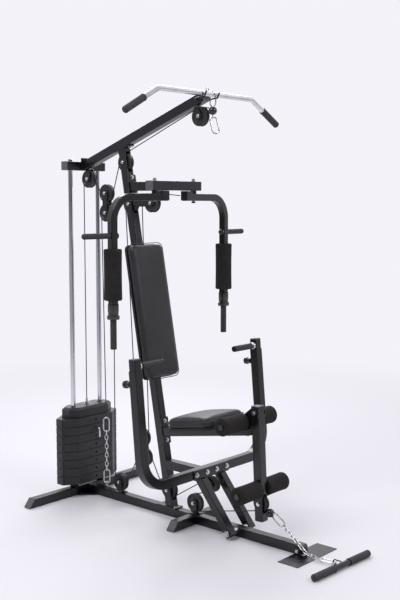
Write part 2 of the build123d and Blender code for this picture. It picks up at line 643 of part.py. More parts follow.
# ================= seat and back =================
with BuildPart() as seat_beam:
    start_y = 80.0
    tube(
        Plane(origin=(0, start_y, seat_beam_z(start_y)), x_dir=(1, 0, 0), z_dir=SEAT_AXIS),
        (start_y + 505) / cos(radians(SEAT_RISE)),
    )
    seat_face = Plane(
        origin=(0, upright_y(427) - UPRIGHT_FRONT - 5, 427), x_dir=(1, 0, 0),
        z_dir=(0, -cos(radians(LEAN)), sin(radians(LEAN))),
    )
    split(bisect_by=seat_face, keep=Keep.TOP)
    with BuildSketch(seat_face) as plate:
        RectangleRounded(54, 132, 5)
    extrude(plate.sketch, amount=-4.9)
    for side in (-1, 1):
        with BuildSketch(Plane.YZ.offset(side * HALF)) as ear:
            for y, z, radius in ((*LEG_PIVOT, 27), (*KNEE_ROD, 24), (-448, 507, 18), (-500, 512, 20)):
                with Locations((y, z)):
                    Circle(radius)
            make_hull()
        extrude(ear.sketch, amount=side * PLATE)
    bar((-40, *KNEE_ROD), (40, *KNEE_ROD), ROD_TUBE_R, Mode.SUBTRACT)
    bar((-40, *LEG_PIVOT), (40, *LEG_PIVOT), 6 + RUNNING, Mode.SUBTRACT)
save(seat_beam, "seat_beam")

SEAT_REAR = -92.0
SEAT_LENGTH = 282.0
SEAT_WIDTH = 300.0
BOARD = 12.0
SEAT_PAD = 42.0
BACK_LOW = 640.0  # along the upright from its foot
BACK_HIGH = 1325.0
BACK_WIDTH = 240.0
BACK_PAD = 40.0
seat_middle = SEAT_REAR - SEAT_LENGTH / 2 * cos(radians(SEAT_RISE))
seat_normal = (0, sin(radians(SEAT_RISE)), cos(radians(SEAT_RISE)))
seat_top = Vector(0, seat_middle, seat_beam_z(seat_middle)) + Vector(*seat_normal) * HALF
seat_plane = Plane(origin=seat_top, x_dir=(1, 0, 0), z_dir=seat_normal)
back_normal = (0, -cos(radians(LEAN)), sin(radians(LEAN)))
back_middle = Vector(0, 0, TUBE) + Vector(*UP_AXIS) * ((BACK_LOW + BACK_HIGH) / 2)
back_face = back_middle + Vector(*back_normal) * (HALF + 0.2)
back_plane = Plane(origin=back_face, x_dir=(1, 0, 0), z_dir=back_normal)

with BuildPart() as pad_boards:
    with BuildSketch(seat_plane) as board:
        RectangleRounded(SEAT_WIDTH - 16, SEAT_LENGTH - 16, 30)
    extrude(board.sketch, amount=BOARD)
    with BuildSketch(back_plane) as board:
        RectangleRounded(BACK_WIDTH - 14, BACK_HIGH - BACK_LOW - 14, 28)
    extrude(board.sketch, amount=BOARD)
save(pad_boards, "pad_boards")

with BuildPart() as seat_pad:
    with BuildSketch(seat_plane.offset(BOARD + 0.3)) as cushion:
        RectangleRounded(SEAT_WIDTH, SEAT_LENGTH, 36)
    extrude(cushion.sketch, amount=SEAT_PAD)
    fillet(seat_pad.faces().sort_by(Axis.Z)[-1].edges(), 14)
save(seat_pad, "seat_pad")

with BuildPart() as back_pad:
    with BuildSketch(back_plane.offset(BOARD + 0.3)) as cushion:
        RectangleRounded(BACK_WIDTH, BACK_HIGH - BACK_LOW, 34)
    extrude(cushion.sketch, amount=BACK_PAD)
    fillet(back_pad.faces().sort_by(Axis.Y)[0].edges(), 12)
save(back_pad, "back_pad")

# ================= rollers =================
ROLLER_GAP = 0.1
KNEE_SPAN = (31.0, 183.0)
ANKLE_SPAN = (24.0, 170.0)


def roller_rod(place, outer_end):
    """Steel rod along X with a domed plug outside each roller."""
    bar((-outer_end, *place), (outer_end, *place), ROD_TUBE_R)
    for side in (-1, 1):
        bar((side * outer_end, *place), (side * (outer_end + 3), *place), ROD_TUBE_R + 2)
        bar((side * (outer_end + 3), *place), (side * (outer_end + 6), *place), ROD_TUBE_R - 2)


def roller(place, side, span):
    """Foam roller around the rod, on one side."""
    with BuildSketch(Plane.YZ.offset(side * span[0])) as section:
        with Locations(place):
            Circle(ROLLER_R)
            Circle(ROD_TUBE_R + ROLLER_GAP, mode=Mode.SUBTRACT)
    extrude(section.sketch, amount=side * (span[1] - span[0]))


with BuildPart() as knee_roller_rod:
    roller_rod(KNEE_ROD, KNEE_SPAN[1] + 1)
save(knee_roller_rod, "knee_roller_rod")

for word, side in (("right", -1), ("left", 1)):
    for joint, place, span in (("knee", KNEE_ROD, KNEE_SPAN), ("ankle", ANKLE_ROD, ANKLE_SPAN)):
        with BuildPart() as foam_roller:
            roller(place, side, span)
            fillet(foam_roller.edges().filter_by(GeomType.CIRCLE).sort_by(SortBy.RADIUS)[-2:], 4)
        save(foam_roller, joint + "_roller_" + word)

# ================= leg lever =================
with BuildPart() as leg_lever:
    low = Vector(0, LEG_PIVOT[0] - 2, LEG_PIVOT[1]) - Vector(*LEG_AXIS) * 499
    tube(Plane(origin=low, x_dir=(1, 0, 0), z_dir=LEG_AXIS), 527, LEG_TUBE)
    lever_back = (0, 1, -tan(radians(LEG_LEAN)))
    slot_plane = Plane(origin=(0, LEG_WHEEL[0], LEG_WHEEL[1]), x_dir=(1, 0, 0), z_dir=lever_back)
    with BuildSketch(slot_plane) as slot:
        RectangleRounded(WHEEL_WIDTH + 3, 2 * SMALL_WHEEL_R + 12, 6)
    extrude(slot.sketch, amount=40, both=True, mode=Mode.SUBTRACT)
    bar((-HALF, *LEG_PIVOT), (HALF, *LEG_PIVOT), 14)
    bar((-40, *LEG_PIVOT), (40, *LEG_PIVOT), 6 + RUNNING, Mode.SUBTRACT)
    bar((-40, *ANKLE_ROD), (40, *ANKLE_ROD), ROD_TUBE_R, Mode.SUBTRACT)
    bar((-40, *LEG_WHEEL[:2]), (40, *LEG_WHEEL[:2]), BOLT_R + RUNNING, Mode.SUBTRACT)
save(leg_lever, "leg_lever")

with BuildPart() as ankle_rod:
    roller_rod(ANKLE_ROD, ANKLE_SPAN[1] + 1)
    cross_bolt(LEG_WHEEL[0], LEG_WHEEL[1], LEG_TUBE / 2)
save(ankle_rod, "ankle_rod")

with BuildPart() as leg_pulley:
    wheel(LEG_WHEEL, SMALL_WHEEL_R)
save(leg_pulley, "pulley_leg")

# ================= butterfly arms =================
GRIP_TOP = 1085.0
COLLAR_LOW = 1023.0
GRIP_LOW = 885.0
for word, side in (("right", -1), ("left", 1)):
    outward = (side * cos(radians(ARM_SWEEP)), sin(radians(ARM_SWEEP)), 0)
    pivot = Vector(side * PEC_PIVOT_X, PEC_PIVOT_Y, 0)
    arm_plane = Plane(origin=pivot, x_dir=outward, z_dir=Vector(*outward).cross(Vector(0, 0, 1)))
    hang = pivot + Vector(*outward) * PEC_REACH

    with BuildPart() as pec_arm:
        with BuildLine(arm_plane) as arm_path:
            FilletPolyline(
                (-70, PEC_ARM_Z), (PEC_REACH, PEC_ARM_Z), (PEC_REACH, GRIP_TOP + 10), radius=PEC_BEND,
            )
        path = arm_path.wire()
        with BuildSketch(Plane(origin=path @ 0, x_dir=(0, 0, 1), z_dir=path % 0)) as section:
            RectangleRounded(PEC_TUBE, PEC_TUBE, 4)
            RectangleRounded(PEC_TUBE - 2 * WALL, PEC_TUBE - 2 * WALL, 2, mode=Mode.SUBTRACT)
        sweep(section.sketch, path=path)
        stop_plane = Plane(origin=pivot + Vector(0, 0, PEC_ARM_Z - 15), x_dir=outward, z_dir=(0, 0, 1))
        with BuildSketch(stop_plane) as stop_block:
            with Locations((-53, 0)):
                RectangleRounded(48, 40, 3)
        extrude(stop_block.sketch, amount=45)
        pivot_low = (pivot.X, pivot.Y, PEC_ARM_Z - PEC_TUBE / 2)
        bar(pivot_low, (pivot.X, pivot.Y, CROSSBAR_Z - HALF - 0.3), 15)
        bar((pivot.X, pivot.Y, 1500), (pivot.X, pivot.Y, 1700), 6 + RUNNING, Mode.SUBTRACT)
    save(pec_arm, "pec_arm_" + word)

    with BuildPart() as pec_pad:
        with BuildSketch(Plane(origin=(hang.X, hang.Y, 1111), x_dir=outward, z_dir=(0, 0, 1))) as section:
            Circle(FOAM_R)
            RectangleRounded(PEC_TUBE + 0.4, PEC_TUBE + 0.4, 4, mode=Mode.SUBTRACT)
        extrude(section.sketch, amount=235)
        outer = pec_pad.faces().filter_by(GeomType.CYLINDER).sort_by(SortBy.AREA)[-1]
        fillet(outer.edges().filter_by(GeomType.CIRCLE), 5)
    save(pec_pad, "pec_pad_" + word)

    with BuildPart() as pec_grips:
        collar_foot = Plane(origin=(hang.X, hang.Y, COLLAR_LOW), x_dir=outward, z_dir=(0, 0, 1))
        with BuildSketch(collar_foot) as collar:
            RectangleRounded(44, 44, 6)
        extrude(collar.sketch, amount=GRIP_TOP + 9.8 - COLLAR_LOW)
        bar((hang.X, hang.Y, COLLAR_LOW), (hang.X, hang.Y, GRIP_LOW + 4), 15)
        bar((hang.X, hang.Y, GRIP_LOW + 4), (hang.X, hang.Y, GRIP_LOW), 12)
        face = PEC_TUBE / 2 + 0.1
        level = Vector(0, 0, 1406)
        start = hang + Vector(*outward) * face + level
        tip = hang + Vector(*outward) * (429.5 - PEC_REACH - 5) + level
        bar(tuple(start), tuple(tip), 12.5)
        bar(tuple(tip), tuple(tip + Vector(*outward) * 5), 14.5)
        inside = hang - Vector(*outward) * face + level
        bar(tuple(inside), tuple(inside - Vector(*outward) * 8), 17)
        bar(tuple(inside - Vector(*outward) * 8), tuple(inside - Vector(*outward) * 15), 13)
    save(pec_grips, "pec_grips_" + word)

# ================= press yoke =================
yoke_normal = (0, -cos(radians(YOKE_LEAN)), sin(radians(YOKE_LEAN)))
yoke_middle = Vector(0, YOKE_Y, YOKE_Z)
yoke_plane = Plane(origin=yoke_middle, x_dir=(1, 0, 0), z_dir=yoke_normal)
MOUNT_X = 125.0
MOUNT = 6.0
MOUNT_BOLTS = (-109.0, -34.5, 34.5, 109.0)
with BuildPart() as press_yoke:
    with BuildLine(yoke_plane) as yoke_path:
        FilletPolyline(
            (-YOKE_X, YOKE_TOP), (-YOKE_X, 0), (YOKE_X, 0), (YOKE_X, YOKE_TOP), radius=YOKE_BEND,
        )
    path = yoke_path.wire()
    with BuildSketch(Plane(origin=path @ 0, x_dir=(1, 0, 0), z_dir=path % 0)) as section:
        RectangleRounded(TUBE, TUBE, 4)
        RectangleRounded(TUBE - 2 * WALL, TUBE - 2 * WALL, 2, mode=Mode.SUBTRACT)
    sweep(section.sketch, path=path)
    for side in (-1, 1):
        knob_hole = yoke_middle + Vector(side * YOKE_X, 0, 0) + Vector(*YOKE_AXIS) * KNOB_HEIGHT
        bar(tuple(knob_hole), tuple(knob_hole - Vector(*yoke_normal) * 40), 5.5, Mode.SUBTRACT)
save(press_yoke, "press_yoke")

lever_way = Vector(0, YOKE_Y - PRESS_PIVOT[0], YOKE_Z - PRESS_PIVOT[1]).normalized()
with BuildPart() as press_levers:
    for side in (-1, 1):
        low = Vector(side * LEVER_X, *PRESS_PIVOT) - lever_way * 18
        tube(Plane(origin=low, x_dir=(1, 0, 0), z_dir=lever_way), 330, LEVER_TUBE)
    split(bisect_by=yoke_plane.offset(-HALF - 30), keep=Keep.TOP)
    underside = Plane(
        origin=yoke_middle - Vector(*YOKE_AXIS) * (HALF + 0.05), x_dir=(1, 0, 0),
        z_dir=-Vector(*YOKE_AXIS),
    )
    split(bisect_by=underside, keep=Keep.TOP)
    with BuildSketch(yoke_plane.offset(HALF + 0.05)) as mount_plate:
        with Locations((0, -1)):
            RectangleRounded(2 * MOUNT_X, TUBE + 2, 3)
    extrude(mount_plate.sketch, amount=MOUNT)
    bar((-130, *PRESS_PIVOT), (130, *PRESS_PIVOT), 8 + RUNNING, Mode.SUBTRACT)
    wheel_place = (PRESS_WHEEL[0], PRESS_WHEEL[1])
    hanger_top = yoke_middle - Vector(*YOKE_AXIS) * (HALF + 13)
    cheek_pair([wheel_place, (hanger_top.Y, hanger_top.Z)], 12, CHEEK)
    cross_bolt(PRESS_WHEEL[0], PRESS_WHEEL[1], CHEEK + PLATE)
    for x in MOUNT_BOLTS:
        head = yoke_middle + Vector(x, 0, 0) + Vector(*yoke_normal) * (HALF + MOUNT + 0.05)
        face_bolt(tuple(head), yoke_normal, 7)
save(press_levers, "press_levers")

with BuildPart() as press_pulley:
    wheel(PRESS_WHEEL, SMALL_WHEEL_R)
save(press_pulley, "pulley_press")

POST_LOW = 300.0
POST_HIGH = 586.0
POST_TRAVEL = 150.0
HANDLE_HEIGHT = 554.0
for word, side in (("right", -1), ("left", 1)):
    foot = yoke_middle + Vector(side * YOKE_X, 0, 0)
    with BuildPart() as press_post:
        post_foot = Plane(origin=foot + Vector(*YOKE_AXIS) * POST_LOW, x_dir=(1, 0, 0), z_dir=YOKE_AXIS)
        tube(post_foot, POST_HIGH - POST_LOW, POST, 3)
        rear_wall = foot + Vector(*YOKE_AXIS) * KNOB_HEIGHT
        slot_middle = rear_wall - Vector(*YOKE_AXIS) * POST_TRAVEL / 2
        with BuildSketch(Plane(origin=slot_middle, x_dir=YOKE_AXIS, z_dir=-Vector(*yoke_normal))) as slot:
            SlotCenterToCenter(POST_TRAVEL, 10)
        extrude(slot.sketch, amount=40, mode=Mode.SUBTRACT)
        handle = foot + Vector(*YOKE_AXIS) * HANDLE_HEIGHT
        bar(tuple(handle - Vector(side * POST / 2, 0, 0)), tuple(handle - Vector(side * 170, 0, 0)), 12.5)
        bar(tuple(handle - Vector(side * 170, 0, 0)), tuple(handle - Vector(side * 175, 0, 0)), 14.5)
    save(press_post, "press_post_" + word)

    with BuildPart() as press_knob:
        rear_wall = foot + Vector(*YOKE_AXIS) * KNOB_HEIGHT
        back = -Vector(*yoke_normal)
        bar(tuple(rear_wall + back * (POST / 2 - 4)), tuple(rear_wall + back * (HALF + 12)), 4.5)
        bar(tuple(rear_wall + back * (HALF + 12)), tuple(rear_wall + back * (HALF + 36)), 15)
        bar(tuple(rear_wall + back * (HALF + 36)), tuple(rear_wall + back * (HALF + 50)), 18)
    save(press_knob, "press_knob_" + word)

# ================= lat bar =================
with BuildPart() as lat_bar:
    with BuildLine(Plane.XZ.offset(-LAT_Y)) as bar_path:
        FilletPolyline(
            (LAT_X - LAT_TIP[0], LAT_TIP[1]), (LAT_X - LAT_HALF, LAT_Z), (LAT_X + LAT_HALF, LAT_Z),
            (LAT_X + LAT_TIP[0], LAT_TIP[1]), radius=60,
        )
    path = bar_path.wire()
    with BuildSketch(Plane(origin=path @ 0, z_dir=path % 0)) as section:
        Circle(ROD_TUBE_R)
    sweep(section.sketch, path=path)
    ring((LAT_X, LAT_Y, LAT_Z + ROD_TUBE_R + 8), 24, 20, 3, (0, 0, 1), (1, 0, 0))
    ring((30, LAT_Y, LAT_Z + ROD_TUBE_R - 31.8), 76, 40, 3, (0, 0, 1), (1, 0, 0))
save(lat_bar, "lat_bar")

with BuildPart() as lat_grips:
    for side in (-1, 1):
        tip = Vector(LAT_X + side * LAT_TIP[0], LAT_Y, LAT_TIP[1])
        inward = (Vector(LAT_X + side * LAT_HALF, LAT_Y, LAT_Z) - tip).normalized()
        with BuildSketch(Plane(origin=tip, z_dir=inward)) as sleeve:
            Circle(GRIP_R)
            Circle(ROD_TUBE_R, mode=Mode.SUBTRACT)
        extrude(sleeve.sketch, amount=125)
        with BuildSketch(Plane(origin=tip - inward * 4, z_dir=inward)) as cap:
            Circle(GRIP_R)
        extrude(cap.sketch, amount=4)
save(lat_grips, "lat_grips")

with BuildPart() as lat_cable_end:
    with BuildSketch(Plane.YZ) as half_ball:
        with Locations(LAT_BALL):
            Circle(BALL_R)
            Rectangle(2 * BALL_R, 2 * BALL_R, align=(Align.MAX, Align.CENTER), mode=Mode.SUBTRACT)
    revolve(half_ball.sketch, axis=Axis((0, LAT_BALL[0], 0), (0, 0, 1)))
    eye = Vector(0, LAT_BALL[0], LAT_BALL[1] - BALL_R - 6)
    ring(tuple(eye), 24, 18, 2, (0, 0, 1), (0.66, -0.75, 0))
    swing = Vector(0.16, -0.18, -1).normalized()
    clip_middle = eye - Vector(0, 0, 4.5) + swing * (CLIP_LENGTH / 2 - CLIP_WIRE)
    clip_normal = swing.cross(Vector(0.66, -0.75, 0))
    ring(tuple(clip_middle), CLIP_LENGTH, CLIP_WIDTH, CLIP_WIRE, tuple(swing), tuple(clip_normal))
save(lat_cable_end, "lat_cable_end")

# ================= cables and chains =================
ANCHOR_X = 17.5
with BuildPart() as top_cable:
    start = ball_face(LAT_BALL, leave_points((*LAT_BALL, 0, 1), FRONT_TOP)[1])
    cable([start, FRONT_TOP, JUNCTION, BLOCK_UP_TOP, REAR_TOP, (STACK_Y, SOCKET_TOP + 0.3, 0, 1)])
save(top_cable, "top_cable")

CHAIN_TOP = 340.0
CLIP_FACING = (cos(radians(35)), sin(radians(35)), 0)  # the hanging clips are turned toward the seat
CHAIN_CLIP_Z = 99.0
with BuildPart() as lower_cables:
    over = BLOCK_UP_LOW[0] + RUN_R
    end = ball_face(LOW_BALL, leave_points(LEG_WHEEL, (*LOW_BALL, 0, 1))[0])
    cable([
        (over, BLOCK_UP_LOW[1] - 1, 0, 1), BLOCK_UP_LOW, REAR_LOW, BLOCK_DOWN_LOW, BASE_WHEEL,
        PRESS_WHEEL, FRONT_LOW, LEG_WHEEL, end,
    ])
    bar((0.1, over, BLOCK_UP_LOW[1] - 2), (ANCHOR_X, over, CHAIN_TOP + CLIP_LENGTH + 2), CABLE_R)
    pec_low = BLOCK_DOWN_TOP[0] - RUN_R
    cable([
        (40, PEC_FRONT[1] + RUN_R, 0, 1), (PEC_FRONT[0], PEC_FRONT[1], RUN_R, -1), PEC_REAR,
        BLOCK_DOWN_TOP, (pec_low, BLOCK_DOWN_TOP[1] + 1, 0, 1),
    ])
    bar((0.1, pec_low, BLOCK_DOWN_TOP[1] + 2), (44, 241.4, 1545), CABLE_R)
    bar((44, 241.4, 1545), (44, 241.4, 1553), 7)
save(lower_cables, "lower_cables")

with BuildPart() as anchor_chain:
    over = BLOCK_UP_LOW[0] + RUN_R
    hung = Vector(ANCHOR_X, over, CHAIN_TOP + CLIP_WIRE)
    held = Vector(ANCHOR_X, over, CHAIN_CLIP_Z + CLIP_LENGTH / 2 - CLIP_WIRE)
    for middle in (CHAIN_TOP + CLIP_LENGTH / 2, CHAIN_CLIP_Z):
        ring((ANCHOR_X, over, middle), CLIP_LENGTH, CLIP_WIDTH, CLIP_WIRE, (0, 0, 1), CLIP_FACING)
    with BuildLine(mode=Mode.PRIVATE) as chain_path:
        Line(hung, held)
    chain(chain_path.wire(), (-CLIP_FACING[1], CLIP_FACING[0], 0))
    ring((ANCHOR_X, over, TUBE + 14.5), 28, 20, 3, (0, 0, 1), (0, 1, 0))
save(anchor_chain, "anchor_chain")

LOW_BAR_Y = -1020.0
LOW_BAR_X = -30.0
LOW_BAR_HALF = 197.0
LOW_CLIP = Vector(-27, -906.5, 13)  # middle of the wire that the chain holds
CLIP_REACH = CLIP_LENGTH / 2 - CLIP_WIRE
with BuildPart() as low_chain:
    with BuildSketch(Plane.YZ) as half_ball:
        with Locations(LOW_BALL):
            Circle(BALL_R)
            Rectangle(2 * BALL_R, 2 * BALL_R, align=(Align.CENTER, Align.MAX), mode=Mode.SUBTRACT)
    revolve(half_ball.sketch, axis=Axis((0, 0, LOW_BALL[1]), (0, 1, 0)))
    clip_way = Vector(-6, -62, -42).normalized()
    clip_middle = Vector(0, LOW_BALL[0] - BALL_R, LOW_BALL[1]) + clip_way * (CLIP_LENGTH / 2 - 4)
    ring(tuple(clip_middle), CLIP_LENGTH, CLIP_WIDTH, CLIP_WIRE, tuple(clip_way), (1, 0, 0))
    with BuildLine(mode=Mode.PRIVATE) as chain_path:
        FilletPolyline(clip_middle + clip_way * CLIP_REACH, (-46, -852, 24), LOW_CLIP, radius=60)
    chain(chain_path.wire(), (0, 0, 1))
    floor_way = Vector(0.12, -1, 0).normalized()
    floor_clip = LOW_CLIP + floor_way * CLIP_REACH
    ring(tuple(floor_clip), CLIP_LENGTH, CLIP_WIDTH, CLIP_WIRE, tuple(floor_way), (0, 0, 1))
save(low_chain, "low_chain")

with BuildPart() as low_bar:
    turn = radians(-3)
    way = Vector(cos(turn), sin(turn), 0)
    middle = Vector(LOW_BAR_X, LOW_BAR_Y, GRIP_R)
    bar(tuple(middle - way * (LOW_BAR_HALF - 4)), tuple(middle + way * (LOW_BAR_HALF - 4)), ROD_TUBE_R)
    eyelet = LOW_CLIP + floor_way * (2 * CLIP_REACH) + Vector(0, -10, 3)
    ring(tuple(eyelet), 50, 26, 3, (0, 1, 0), (1, 0, 0))
save(low_bar, "low_bar")

with BuildPart() as low_grips:
    for side in (-1, 1):
        inner = middle + way * (side * 50)
        with BuildSketch(Plane(origin=inner, z_dir=way * side)) as sleeve:
            Circle(GRIP_R)
            Circle(ROD_TUBE_R, mode=Mode.SUBTRACT)
        extrude(sleeve.sketch, amount=LOW_BAR_HALF - 54)
        with BuildSketch(Plane(origin=middle + way * (side * (LOW_BAR_HALF - 4)), z_dir=way * side)) as cap:
            Circle(GRIP_R)
        extrude(cap.sketch, amount=4)
save(low_grips, "low_grips")
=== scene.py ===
import json
import math
from math import asin, atan2, cos, hypot, pi, radians, sin, tan

import bpy
import numpy as np
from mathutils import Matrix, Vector


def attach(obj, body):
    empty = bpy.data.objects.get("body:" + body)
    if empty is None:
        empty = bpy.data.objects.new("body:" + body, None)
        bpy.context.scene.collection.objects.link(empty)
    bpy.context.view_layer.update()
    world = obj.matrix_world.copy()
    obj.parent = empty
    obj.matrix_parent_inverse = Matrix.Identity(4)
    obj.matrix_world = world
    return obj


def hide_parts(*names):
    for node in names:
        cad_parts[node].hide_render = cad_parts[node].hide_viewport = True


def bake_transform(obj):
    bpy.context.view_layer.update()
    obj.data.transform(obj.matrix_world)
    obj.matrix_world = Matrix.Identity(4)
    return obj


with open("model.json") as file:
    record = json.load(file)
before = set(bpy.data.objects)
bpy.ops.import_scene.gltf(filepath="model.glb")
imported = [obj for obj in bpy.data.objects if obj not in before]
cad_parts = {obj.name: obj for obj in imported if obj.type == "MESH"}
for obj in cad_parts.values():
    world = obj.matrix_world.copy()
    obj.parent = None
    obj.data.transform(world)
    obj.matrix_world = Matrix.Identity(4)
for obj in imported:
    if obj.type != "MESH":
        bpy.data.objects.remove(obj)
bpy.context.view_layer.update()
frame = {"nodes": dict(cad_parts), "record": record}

# The home gym's looks, in metres, in the frame of the CAD model: +Z up, the user faces -Y.

# ---------------------------------------------------------------- places shared with the CAD
LEAN = radians(10.3)
SEAT_RISE = radians(9.75)
YOKE_LEAN = radians(5.24)
RUN = 0.0428
SMALL_RUN = 0.0348


def upright_y(z):
    return (z - 0.045) * tan(LEAN)


STACK_Y = 0.628
FRONT_TOP = (-0.190, 1.956, RUN, -1)
JUNCTION = (upright_y(1.757), 1.757, RUN, -1)
BLOCK_UP_TOP = (0.452, 1.604, RUN, 1)
BLOCK_UP_LOW = (0.452, 1.504, RUN, 1)
REAR_TOP = (STACK_Y - RUN, 1.679, RUN, -1)
REAR_LOW = (0.452 - 2 * RUN, 0.100, RUN, -1)
BLOCK_DOWN_TOP = (0.202, 0.365, RUN, -1)
BLOCK_DOWN_LOW = (0.188, 0.266, RUN, 1)
BASE_WHEEL = (upright_y(0.130), 0.130, RUN, -1)
PRESS_WHEEL = (-0.268, 0.213, SMALL_RUN, 1)
FRONT_LOW = (-0.157, 0.099, RUN, -1)
LEG_WHEEL = (-0.562, 0.183, SMALL_RUN, -1)
PEC_FRONT = (0.125, 1.554, RUN, -1)
PEC_REAR = (upright_y(1.549), 1.549, RUN, -1)
LAT_BALL = (-0.264, 1.978)
LOW_BALL = (-0.613, 0.147)
CABLE_R = 0.0025
BLOCK_UP_Y = 0.452
ANCHOR_X = 0.0175
POST_X = 0.4335
PAD_BOARD_THICK = 0.0123
FOAM_WAIST = 0.0012
CLOTH_STEPS = 20
CLOTH_REACH = 0.005


# ---------------------------------------------------------------- materials
def node_material(name, base, second, rough, rough_spread=0.08, metallic=0.0, mottle=18.0, grain=900.0,
                  bump=0.12, depth=0.0004, cells=False, coat=0.0, sheen=0.0, edge_wear_and_highlight=None, stretch=(1, 1, 1),
                  specular=0.5):
    """A surface whose colour, roughness and relief come from noise at the scale of the real thing; the
    optional edge colour paints a lighter, patchy rim on rounded edges, partly painted highlight.
    """
    mat = bpy.data.materials.new(name)
    mat.use_nodes = True
    tree = mat.node_tree
    link = tree.links.new
    shader = tree.nodes["Principled BSDF"]
    place = tree.nodes.new("ShaderNodeTexCoord")
    mapping = tree.nodes.new("ShaderNodeMapping")
    mapping.inputs["Scale"].default_value = stretch
    link(place.outputs["Object"], mapping.inputs["Vector"])
    broad = tree.nodes.new("ShaderNodeTexNoise")
    broad.inputs["Scale"].default_value = mottle
    broad.inputs["Detail"].default_value = 6.0
    link(mapping.outputs["Vector"], broad.inputs["Vector"])
    ramp = tree.nodes.new("ShaderNodeValToRGB")
    ramp.color_ramp.elements[0].position = 0.35
    ramp.color_ramp.elements[0].color = (*second, 1)
    ramp.color_ramp.elements[1].position = 0.65
    ramp.color_ramp.elements[1].color = (*base, 1)
    link(broad.outputs["Fac"], ramp.inputs["Fac"])
    colour = ramp.outputs["Color"]
    spread = tree.nodes.new("ShaderNodeMapRange")
    spread.inputs["To Min"].default_value = rough - rough_spread
    spread.inputs["To Max"].default_value = rough + rough_spread
    fine = tree.nodes.new("ShaderNodeTexVoronoi" if cells else "ShaderNodeTexNoise")
    fine.inputs["Scale"].default_value = grain
    link(mapping.outputs["Vector"], fine.inputs["Vector"])
    height = fine.outputs["Distance"] if cells else fine.outputs["Fac"]
    link(broad.outputs["Fac"], spread.inputs["Value"])
    relief = tree.nodes.new("ShaderNodeBump")
    relief.inputs["Strength"].default_value = bump
    relief.inputs["Distance"].default_value = depth
    link(height, relief.inputs["Height"])
    link(relief.outputs["Normal"], shader.inputs["Normal"])
    # Lighter, patchy rim on rounded edges: painted highlight where the edges catch light, partly edge wear.
    if edge_wear_and_highlight:
        rounded = tree.nodes.new("ShaderNodeBevel")
        rounded.samples = 4
        rounded.inputs["Radius"].default_value = 0.0015
        plain = tree.nodes.new("ShaderNodeNewGeometry")
        facing = tree.nodes.new("ShaderNodeVectorMath")
        facing.operation = "DOT_PRODUCT"
        link(rounded.outputs["Normal"], facing.inputs[0])
        link(plain.outputs["Normal"], facing.inputs[1])
        edge = tree.nodes.new("ShaderNodeMapRange")
        edge.inputs["From Min"].default_value = 0.99
        edge.inputs["From Max"].default_value = 0.80
        edge.inputs["To Max"].default_value = 0.8
        link(facing.outputs["Value"], edge.inputs["Value"])
        patchy = tree.nodes.new("ShaderNodeMath")
        patchy.operation = "MULTIPLY"
        link(edge.outputs["Result"], patchy.inputs[0])
        link(broad.outputs["Fac"], patchy.inputs[1])
        blend = tree.nodes.new("ShaderNodeMix")
        blend.data_type = "RGBA"
        blend.inputs["B"].default_value = (*edge_wear_and_highlight, 1)
        link(patchy.outputs["Value"], blend.inputs["Factor"])
        link(colour, blend.inputs["A"])
        colour = blend.outputs["Result"]
    link(colour, shader.inputs["Base Color"])
    link(spread.outputs["Result"], shader.inputs["Roughness"])
    shader.inputs["Metallic"].default_value = metallic
    shader.inputs["Coat Weight"].default_value = coat
    shader.inputs["Coat Roughness"].default_value = 0.15
    shader.inputs["Sheen Weight"].default_value = sheen
    shader.inputs["Sheen Roughness"].default_value = 0.35
    shader.inputs["Specular IOR Level"].default_value = specular
    return mat


